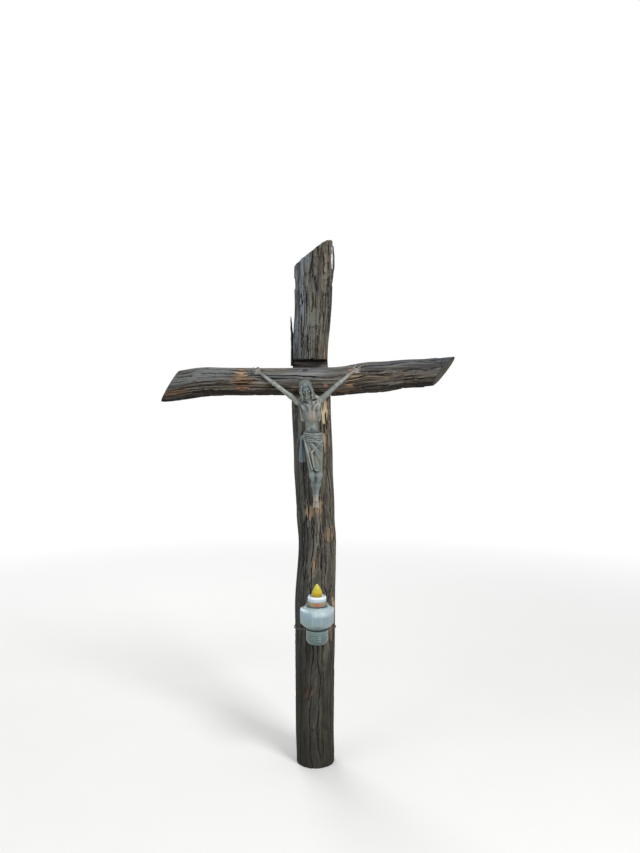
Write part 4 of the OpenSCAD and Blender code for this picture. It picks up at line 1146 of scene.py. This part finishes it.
def figure():
    metal = metal_paint()
    points, faces, masks = body_clay().skin()
    x, y, z = points.T
    masks["chest"] = ease(-178, -160, z) * ease(-14, 4, x)
    hanging = ease(-220, -228, z) * ease(-15, -20, x)
    masks["worn"] = np.where(hanging > 0.5, np.minimum(masks["worn"], 0.66), masks["worn"])
    masks["shade"] = hanging + 0.5 * ease(-344, -358, z) * ease(-450, -436, z)
    # Painted sunlight on the feet.
    masks["feet"] = ease(-438, -452, z)
    body = mesh_object("corpus", FIGURE + points, faces, masks, metal)
    points, faces, masks = head_clay().skin()
    masks["worn"] = 0.5 + 0.7 * (masks["worn"] - 0.5)
    turn = np.array(Matrix.Rotation(math.radians(-10), 3, "Y") @ Matrix.Rotation(math.radians(14), 3, "X"))
    head_at = FIGURE + np.array([-14, -62, -58])
    head = mesh_object("corpus_head", head_at + points @ turn.T, faces, masks, metal)
    for piece in (body, head):
        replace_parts(piece, "corpus_body")
    for side, name in enumerate(("corpus_arm_left", "corpus_arm_right")):
        points, faces, masks = arm_clay(side).skin()
        far = np.abs(points[:, 0] - HANDS[side][0]) + np.abs(points[:, 2] - HANDS[side][1])
        near = ease(44, 26, far)
        # Painted sunlight on the hands, stronger on the right; painted shade on the hands, stronger on the
        # left.
        masks["feet"] = near * (0.45, 0.75)[side]
        masks["shade"] = near * (0.8, 0.35)[side]
        masks["worn"] = masks["worn"] * (1 - near) + np.minimum(masks["worn"], 0.58) * near
        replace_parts(mesh_object(name + "_cast", FIGURE + points, faces, masks, metal), name)


figure()


# Lantern, in millimetres above its own foot
PANELS = 12
WAIST_Z, RIM_Z, SHOULDER_Z, WIRE_DROP = 57, 135, 129, 34
SKIRT_H, KNOB_H = 22, 47
SKIRT_Z, CAP_Z, KNOB_Z = RIM_Z + GAP, RIM_Z + 22.6, RIM_Z + 35.9
LANTERN_H, LANTERN_SHIFT, BOWL_D, WAIST_D, WIRE_R = 490, 6, 126, 76, 2.0
PANEL_R = BOWL_D / 2 * math.cos(math.pi / PANELS)
TOUCH_R = float(post_r(LANTERN_H + SHOULDER_Z)) + PANEL_R + GAP
TOUCH_X = LANTERN_SHIFT - float(post_x(LANTERN_H + SHOULDER_Z))
LANTERN = np.array([LANTERN_SHIFT, -math.sqrt(TOUCH_R ** 2 - TOUCH_X ** 2), LANTERN_H])


def rounded(points, times, loop=False):
    """Polyline with its corners cut again and again."""
    points = np.array(points, dtype=float)
    for _ in range(times):
        ahead = np.roll(points, -1, axis=0) if loop else points[1:]
        here = points if loop else points[:-1]
        cut = np.stack([here * 0.75 + ahead * 0.25, here * 0.25 + ahead * 0.75], axis=1).reshape(-1, 2)
        points = cut if loop else np.concatenate([points[:1], cut, points[-1:]])
    return points


def spread_out(points, gap):
    """Extra points along a polyline so that none lie further apart than a gap."""
    points = np.asarray(points, dtype=float)
    out = [points[0]]
    for a, b in zip(points[:-1], points[1:]):
        n = max(1, int(np.ceil(np.linalg.norm(b - a) / gap)))
        out += [a + (b - a) * k / n for k in range(1, n + 1)]
    return np.array(out)


def lifted(profile, lift):
    return np.array(profile, dtype=float) + (0, lift)


def turned(name, profile, paint, body, count=128, shape=None):
    """Piece turned round the lantern's axis. A profile that starts off the axis closes on itself."""
    solid = profile[0, 0] < 0.01 and profile[-1, 0] < 0.01
    turn = np.linspace(0, 2 * math.pi, count, endpoint=False)
    inner = profile[1:-1] if solid else profile
    r = np.repeat(inner[:, :1], count, axis=1)
    z = np.repeat(inner[:, 1:], count, axis=1)
    if shape:
        r, z = shape(r, z, turn[None])
    points = np.stack([r * np.cos(turn), r * np.sin(turn), z], axis=-1).reshape(-1, 3)
    faces = tube_faces(len(inner), count)
    if solid:
        points = np.concatenate([points, [[0, 0, profile[0, 1]], [0, 0, profile[-1, 1]]]])
    else:
        here = np.arange(count)
        ahead = (here + 1) % count
        last = (len(inner) - 1) * count
        faces = [np.concatenate([faces[0], np.column_stack([last + here, last + ahead, ahead, here])])]
    return mesh_object(name, LANTERN + points, faces, {}, paint, body)


def glass_paint():
    """Milky glass, greener and darker towards its foot with the painted shade of the bowl over it, each
    panel a little different, with painted highlights along its edges and high on its right.
    """
    paint = Paint("lantern_glass")
    share = paint.span("Z", LANTERN_H, LANTERN_H + RIM_Z)
    across = paint.span("X", LANTERN_SHIFT - 50, LANTERN_SHIFT + 50)
    # Painted shade: the glass darkens towards its foot, under the bowl.
    tone = paint.ramp(share, (0, (60, 84, 78)), (0.3, (84, 109, 103)), (0.42, (122, 150, 144)),
                      (0.62, (138, 163, 158)), (0.72, (138, 165, 174)), (0.84, (146, 175, 190)),
                      (0.97, (182, 205, 212)))
    glaze = paint.times(paint.ramp(share, (0.44, 0), (0.52, 0.8), (0.84, 0.5), (0.95, 0)),
                       paint.ramp(across, (0.35, 0), (0.6, 1)))
    tone = paint.mix(glaze, tone, (146, 161, 168))
    tone = paint.mix(paint.times(paint.attribute("panel"), 0.35), tone, (152, 174, 182))
    # Painted highlight: a whitish patch high on the right of the bowl.
    painted_highlight = paint.times(paint.ramp(share, (0.8, 0), (0.88, 0.85)),
                      paint.ramp(across, (0.28, 0), (0.45, 1), (0.8, 1), (0.92, 0.4)))
    cloud = paint.noise(38, bend=0.6)
    tone = paint.mix(painted_highlight, tone, (208, 227, 229))
    tone = paint.layers(tone, (cloud, (0.5, 0), (0.75, 0.2), (160, 184, 192)))
    # Painted highlights along the panels' edges.
    tone = paint.mix(paint.times(paint.attribute("edge"), 0.4), tone, (186, 208, 214))
    paint.set(Base_Color=tone, Transmission_Weight=0.25, IOR=1.45, Coat_Weight=0.15, Coat_Roughness=0.1,
              Roughness=paint.ramp(cloud, (0.3, 0.24), (0.7, 0.38)))
    paint.bump(paint.noise(60, 3), 0.25, 0.001)
    return paint


def plastic_paint(name, low, high, grime, above=None, **settings):
    """Moulded plastic with a graded tone, faint grime in it and a fine skin. Between two heights
    it may turn to a third tone."""
    paint = Paint(name)
    tone = paint.layers(low, (paint.noise(34, 3), (0.35, 0), (0.65, 1), high))
    tone = paint.grimy(tone, grime)
    if above:
        tone = paint.mix(paint.span("Z", *above[:2]), tone, above[2])
    paint.set(Base_Color=tone, **settings)
    return paint


def bowl():
    r, w = 39, 3.5
    rib = ((0, -2.4), (-1.3, -0.4), (-1.3, 0.4), (0, 2.4))
    ribs = [[r + dr, z + dz] for z in (22, 29, 36) for dr, dz in rib]
    foot = [[0, 0], [20, 0], [28, 2.2], [34.5, 7.5], [38.2, 14], [r, 19]]
    side = [[r, 49], [WAIST_D / 2, 53], [WAIST_D / 2, 60], [42, 64], [59.2, 77.6], [60.4, 82], [62.9, 121],
            [62.8, 125.4], [60.6, 128.8], [52, 131], [47, 131.8], [46, 133.2], [46, RIM_Z], [40.4, RIM_Z],
            [39.9, 130]]
    inside = [[52, 126.5], [57.4, 122], [56.4, 84], [55, 80.5], [39, 67], [34.6, 61], [34.6, 53],
              [r - 1.4 - w, 46], [r - 1.4 - w, 20], [30, 10.5], [20.4, 4.6], [0, w]]
    profile = spread_out(np.concatenate([rounded(foot + ribs + side, 2), rounded(inside, 2)]), 2.6)

    def panels(rr, zz, turn):
        off = (turn + math.pi / PANELS) % (2 * math.pi / PANELS) - math.pi / PANELS
        limit = (PANEL_R - 0.2) / np.cos(off)
        t = np.clip(0.5 + 0.5 * (limit - rr) / 0.6, 0, 1)
        soft = limit * (1 - t) + rr * t - 0.6 * t * (1 - t)
        flute = (0.5 + 0.5 * np.cos(off * PANELS)) * ease(62, 70, zz) * ease(131, 122, zz)
        flat = ease(40, 50, rr) * ease(66, 80, zz)
        return np.where(zz > 62, rr * (1 - flat) + (soft - flute) * flat, rr), zz
    piece = turned("lantern_glass_bowl", profile, glass_paint(), "cross", 168, panels)
    place = np.array([v.co[:] for v in piece.data.vertices]) / MM - LANTERN
    turn = np.arctan2(place[:, 1], place[:, 0]) * PANELS / (2 * math.pi)
    side = ease(62, 70, place[:, 2]) * ease(132, 128, place[:, 2])
    side = side * ease(50, 56, np.hypot(place[:, 0], place[:, 1]))
    tint = np.random.default_rng(8).random(PANELS)[np.round(turn).astype(int) % PANELS]
    add_mask(piece.data, "panel", 0.5 + (tint - 0.5) * side)
    add_mask(piece.data, "edge", ease(0.42, 0.49, np.abs(turn - np.round(turn))) * side)
    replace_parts(piece, "lantern_glass")


def lid_skirt(low):
    """Clear skirt from a height up. It fades in the middle, where the band shows through it, and its left
    and right sides are made more opaque and pale, a painted sheen of grazing light at its outline.
    """
    paint = Paint("clear_plastic")
    share = paint.span("Z", LANTERN_H + low, LANTERN_H + low + SKIRT_H)
    tone = paint.ramp(share, (0, (214, 228, 232)), (0.16, (206, 222, 230)), (0.26, (140, 158, 166)),
                      (0.84, (150, 168, 178)), (0.95, (206, 220, 230)))
    tone = paint.grimy(tone, (170, 180, 172))
    aside = paint.put("SeparateXYZ", {"Vector": paint.place}, out="X")
    aside = paint.math("ABSOLUTE", paint.math("SUBTRACT", aside, LANTERN_SHIFT * MM))
    # Painted sheen: the skirt is more opaque towards its left and right outline.
    sides = paint.ramp(paint.times(aside, 10), (0.33, 0.08), (0.42, 0.55))
    foot = paint.ramp(share, (0.1, 0.6), (0.16, 0.3), (0.3, 0))
    paint.set(Base_Color=tone, Alpha=paint.math("MAXIMUM", sides, foot), Roughness=0.12, IOR=1.45,
              Coat_Weight=0.3)
    profile = lifted([[37, -5.7], [38.8, -6], [39, 0], [45, 0], [45.2, 1.9], [43.6, 3.7], [36.4, 18.7],
                      [35.4, 21.9], [30.2, SKIRT_H], [30, 20.1], [33.4, 19.9], [34.4, 17.7], [41.4, 3.3],
                      [37.2, 2.4]], low)
    return turned("lid_skirt", spread_out(rounded(profile, 1, True), 2), paint, "lantern_lid")


def lid_band(top):
    """Gold-coloured band under a height, with a plain reddish field in the middle of its front."""
    paint = Paint("gold_band")
    field = paint.span("X", LANTERN[0] - 24, LANTERN[0] + 28)
    field = paint.ramp(field, (0.1, 0), (0.26, 1), (0.66, 1), (0.9, 0))
    wave = paint.noise(55, 3)
    tone = paint.layers((190, 172, 78), (wave, (0.4, 0), (0.6, 1), (152, 142, 78)))
    paint.set(Base_Color=paint.mix(field, tone, (180, 100, 50)), Metallic=0.2,
              Roughness=paint.ramp(wave, (0.3, 0.45), (0.7, 0.28)))
    paint.bump(paint.noise(300), 0.2, 0.0004)
    profile = lifted([[29.65, -16.3], [30.9, -16.3], [31, -15.4], [30.7, -14.2], [30.7, -5.4], [31, -4.2],
                      [30.9, -3.3], [29.65, -3.3]], top)
    return turned("lid_band", spread_out(profile, 1.5), paint, "lantern_lid")


def lid_cap(low):
    """White cap with a dish in its top and a finely gripped side. Its top is painted lighter, a painted
    light that lifts the shade in the dish.
    """
    # Painted light: the top turns lighter above the cap's side.
    paint = plastic_paint("white_plastic", (166, 188, 198), (188, 196, 206), (146, 158, 164),
                          (LANTERN_H + low + 8.5, LANTERN_H + low + 10.8, (222, 232, 242)),
                          Roughness=0.3, Coat_Weight=0.15)
    profile = lifted([[0, 13], [21, 13], [26.6, 13.2], [27.6, 14.6], [28.2, 17.4], [29.4, 18], [31, 17.4],
                      [32, 15.6], [32.8, 12.8], [33.5, 1.8], [33.3, 0.1], [29.6, 0], [29.4, -17.8],
                      [27.5, -17.9], [27.4, 1.9], [25.4, 10.8], [0, 11.2]], low)

    def grip(rr, zz, turn):
        wave = 0.35 * (0.5 + 0.5 * np.cos(turn * 36))
        return rr - wave * ease(32, 32.6, rr) * ease(low + 15, low + 12, zz), zz
    profile = spread_out(rounded(profile, 1), 1.6)[::-1]
    return turned("lid_white_cap", profile, paint, "lantern_lid", 216, grip)


def lid_knob(low):
    """Flame-shaped knob with faint tongues, warmer towards its foot and paler at its tip, where a highlight
    is painted.
    """
    paint = Paint("yellow_plastic")
    # Painted highlight: pale yellow at the tip.
    tone = paint.layers(
        paint.ramp(paint.span("Z", LANTERN_H + low, LANTERN_H + low + KNOB_H), (0, (164, 138, 2)),
                   (0.3, (176, 150, 2)), (0.42, (184, 166, 6)), (0.62, (176, 166, 8)),
                   (0.85, (192, 184, 44)), (1, (208, 202, 104))),
        (paint.noise(60, 5), (0.5, 0), (0.72, 0.5), (196, 176, 36)))
    paint.set(Base_Color=tone, Roughness=0.36, Coat_Weight=0.1)
    paint.bump(paint.noise(500, 3), 0.12, 0.0004)
    profile = lifted([[0, 0], [14, 0], [16.6, 1.2], [18, 6], [18.9, 12.5], [18.6, 17], [16.9, 22],
                      [14.2, 28], [11.2, 34], [7.8, 39.5], [4.6, 44], [2, 46.6], [0, KNOB_H]], low)

    def tongues(rr, zz, turn):
        rise = (zz - low) / KNOB_H
        return rr * (1 - 0.035 * (0.5 + 0.5 * np.cos(8 * turn + 2 * rise)) * ease(0.05, 0.3, rise)), zz
    return turned("lid_knob", spread_out(rounded(profile, 2), 1.2), paint, "lantern_lid", 128, tongues)


def tube(path, r):
    """Points and faces of a round wire along a path, carried round its bends without twisting."""
    sides = 14
    path = np.array(path, dtype=float)
    ahead = np.gradient(path, axis=0)
    ahead /= np.linalg.norm(ahead, axis=1)[:, None]
    turn = np.linspace(0, 2 * math.pi, sides, endpoint=False)
    u = np.cross(ahead[0], (0.0, 0.0, 1.0))
    rings = []
    for at, t in zip(path, ahead):
        u = u - t * (u @ t)
        u = u / np.linalg.norm(u)
        rings.append(at + r * (np.outer(np.cos(turn), u) + np.outer(np.sin(turn), np.cross(t, u))))
    return np.concatenate(rings + [path[:1], path[-1:]]), tube_faces(len(path), sides)


def tie_wire():
    waist_z = LANTERN_H + WAIST_Z
    loop_z = waist_z - WIRE_DROP
    centre = np.array([float(post_x(loop_z)), 0, loop_z])
    waist = np.array([LANTERN[0], LANTERN[1], waist_z])
    post_loop = float(post_r(loop_z)) + GAP + WIRE_R
    waist_loop = WAIST_D / 2 + GAP + WIRE_R
    away = (waist - centre)[:2]
    axis = math.degrees(math.atan2(away[1], away[0]))
    spread = math.degrees(math.acos((post_loop - waist_loop) / np.linalg.norm(away)))
    twist_r = WIRE_R + 0.15
    twist_y = post_loop + 4 * WIRE_R

    step, turns = 15, 2
    last = turns * 360 // step

    def strand(start, k):
        turn = math.radians(start + step * k)
        return centre + [twist_r * math.cos(turn), twist_y + 7 * twist_r * k / 24, twist_r * math.sin(turn)]

    def ring(at, radius, turn):
        return at + radius * np.array([math.cos(math.radians(turn)), math.sin(math.radians(turn)), 0])
    # From one end of the twist round the post, round the waist, and back to the other end
    leaves, returns = 82, 98 - 360
    many, few = 40, 30
    path = [strand(0, k) for k in range(last, -1, -2)]
    out, back = axis + spread - leaves, returns - axis + spread
    path += [ring(centre, post_loop, leaves + out * k / many) for k in range(2, many + 1)]
    path += [ring(waist, waist_loop, axis + spread - 2 * spread * k / few) for k in range(few + 1)]
    path += [ring(centre, post_loop, axis - spread + back * k / many) for k in range(many - 1)]
    path += [strand(180, k) for k in range(0, last + 1, 2)]
    for _ in range(2):
        inner = [(a + 2 * b + c) / 4 for a, b, c in zip(path[:-2], path[1:-1], path[2:])]
        path = [path[0]] + inner + [path[-1]]
    paint = plastic_paint("tie_wire", (12, 19, 19), (22, 29, 28), (46, 46, 41), Roughness=0.65)
    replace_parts(mesh_object("tie_wire_loop", *tube(path, WIRE_R - 0.1), {}, paint), "tie_wire")


bowl()
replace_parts(lid_skirt(SKIRT_Z), "lid_base")
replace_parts(lid_band(CAP_Z), "lid_ring")
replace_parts(lid_cap(CAP_Z), "lid_cap")
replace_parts(lid_knob(KNOB_Z), "lid_flame")
tie_wire()


def rust_paint():
    """Rusty steel, pinkish on the lower spike and the nails and dark on the upper spike."""
    paint = Paint("rusty_steel")
    flakes = paint.noise(240, 6, 0.7)
    low = paint.layers(
        (96, 62, 56),
        (flakes, (0.35, 0), (0.62, 1), (152, 108, 100)),
        (paint.noise(600), (0.6, 0), (0.75, 0.6), (172, 134, 124)))
    high = paint.layers((36, 26, 36), (flakes, (0.35, 0), (0.62, 1), (70, 52, 62)))
    tone = paint.mix(paint.span("Z", BEAM_Z + 4, BEAM_Z + 22), low, high)
    paint.set(Base_Color=tone, Metallic=0.1, Roughness=paint.ramp(flakes, (0.3, 0.6), (0.7, 0.85)))
    paint.bump(flakes, 0.6, 0.0008)
    return paint


wax = plastic_paint("wax", (216, 210, 190), (228, 222, 204), (190, 178, 150), Roughness=0.45,
                    Subsurface_Weight=0.3, Subsurface_Radius=(0.01, 0.008, 0.005))
cup_paint = plastic_paint("candle_plastic", (196, 204, 200), (208, 214, 208), (168, 170, 158),
                          Roughness=0.3, Transmission_Weight=0.25)
wick = plastic_paint("wick", (40, 36, 34), (66, 58, 50), (24, 22, 22), Roughness=0.9)
IRON = ("beam_spike_upper", "beam_spike_lower", "nail_hand_left", "nail_hand_right", "nail_feet")
SHOWN = ((rust_paint(), IRON), (wax, ("candle_wax",)), (cup_paint, ("candle_cup",)),
         (wick, ("candle_wick",)))
for paint, names in SHOWN:
    for name in names:
        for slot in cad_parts[name].material_slots:
            slot.material = paint.material


# Lamps by name, place, power and size
LAMPS = (("key", (1.9, -2.6, 3.9), 125, 1.2), ("fill", (-3.0, -2.4, 1.8), 30, 2.4),
         ("back", (-1.2, 3.0, 3.0), 60, 2.0))


def stage():
    """White floor that fades into a white sky for the camera, and three lamps."""
    bpy.ops.mesh.primitive_plane_add(size=60, location=(0, 0, 0))
    floor = bpy.context.object
    floor.name = "floor"
    paint = Paint("floor")
    pale = paint.mix(paint.noise(3), (0.80, 0.80, 0.79, 1), (0.83, 0.83, 0.82, 1))
    paint.set(Base_Color=pale, Roughness=0.9)
    away = paint.put("NewGeometry", out="Position")
    away = paint.put("VectorMath", {0: away}, out="Value", operation="LENGTH")
    far = paint.put("MapRange", {"Value": away, "From Min": 1.2, "From Max": 4.5})
    glow = paint.put("Emission", {"Color": (1, 1, 1, 1), "Strength": 1.0})
    share = paint.times(far, paint.seen())
    blend = paint.put("MixShader", {0: share, 1: paint.shader.outputs[0], 2: glow})
    paint.join(paint.tree.nodes["Material Output"].inputs["Surface"], blend)
    floor.data.materials.append(paint.material)
    world = bpy.data.worlds.new("sky")
    bpy.context.scene.world = world
    world.use_nodes = True
    sky = Nodes(world.node_tree)
    back = sky.tree.nodes["Background"].inputs
    back["Color"].default_value = (1, 1, 1, 1)
    sky.join(back["Strength"], sky.put("MapRange", {"Value": sky.seen(), "To Min": 0.52, "To Max": 1.0}))
    for name, at, power, size in LAMPS:
        lamp = bpy.data.lights.new(name, "AREA")
        lamp.energy = power
        lamp.size = size
        made = bpy.data.objects.new(name, lamp)
        made.location = at
        made.rotation_euler = (Vector((0, 0, 1.1)) - Vector(at)).to_track_quat("-Z", "Y").to_euler()
        bpy.context.scene.collection.objects.link(made)


stage()
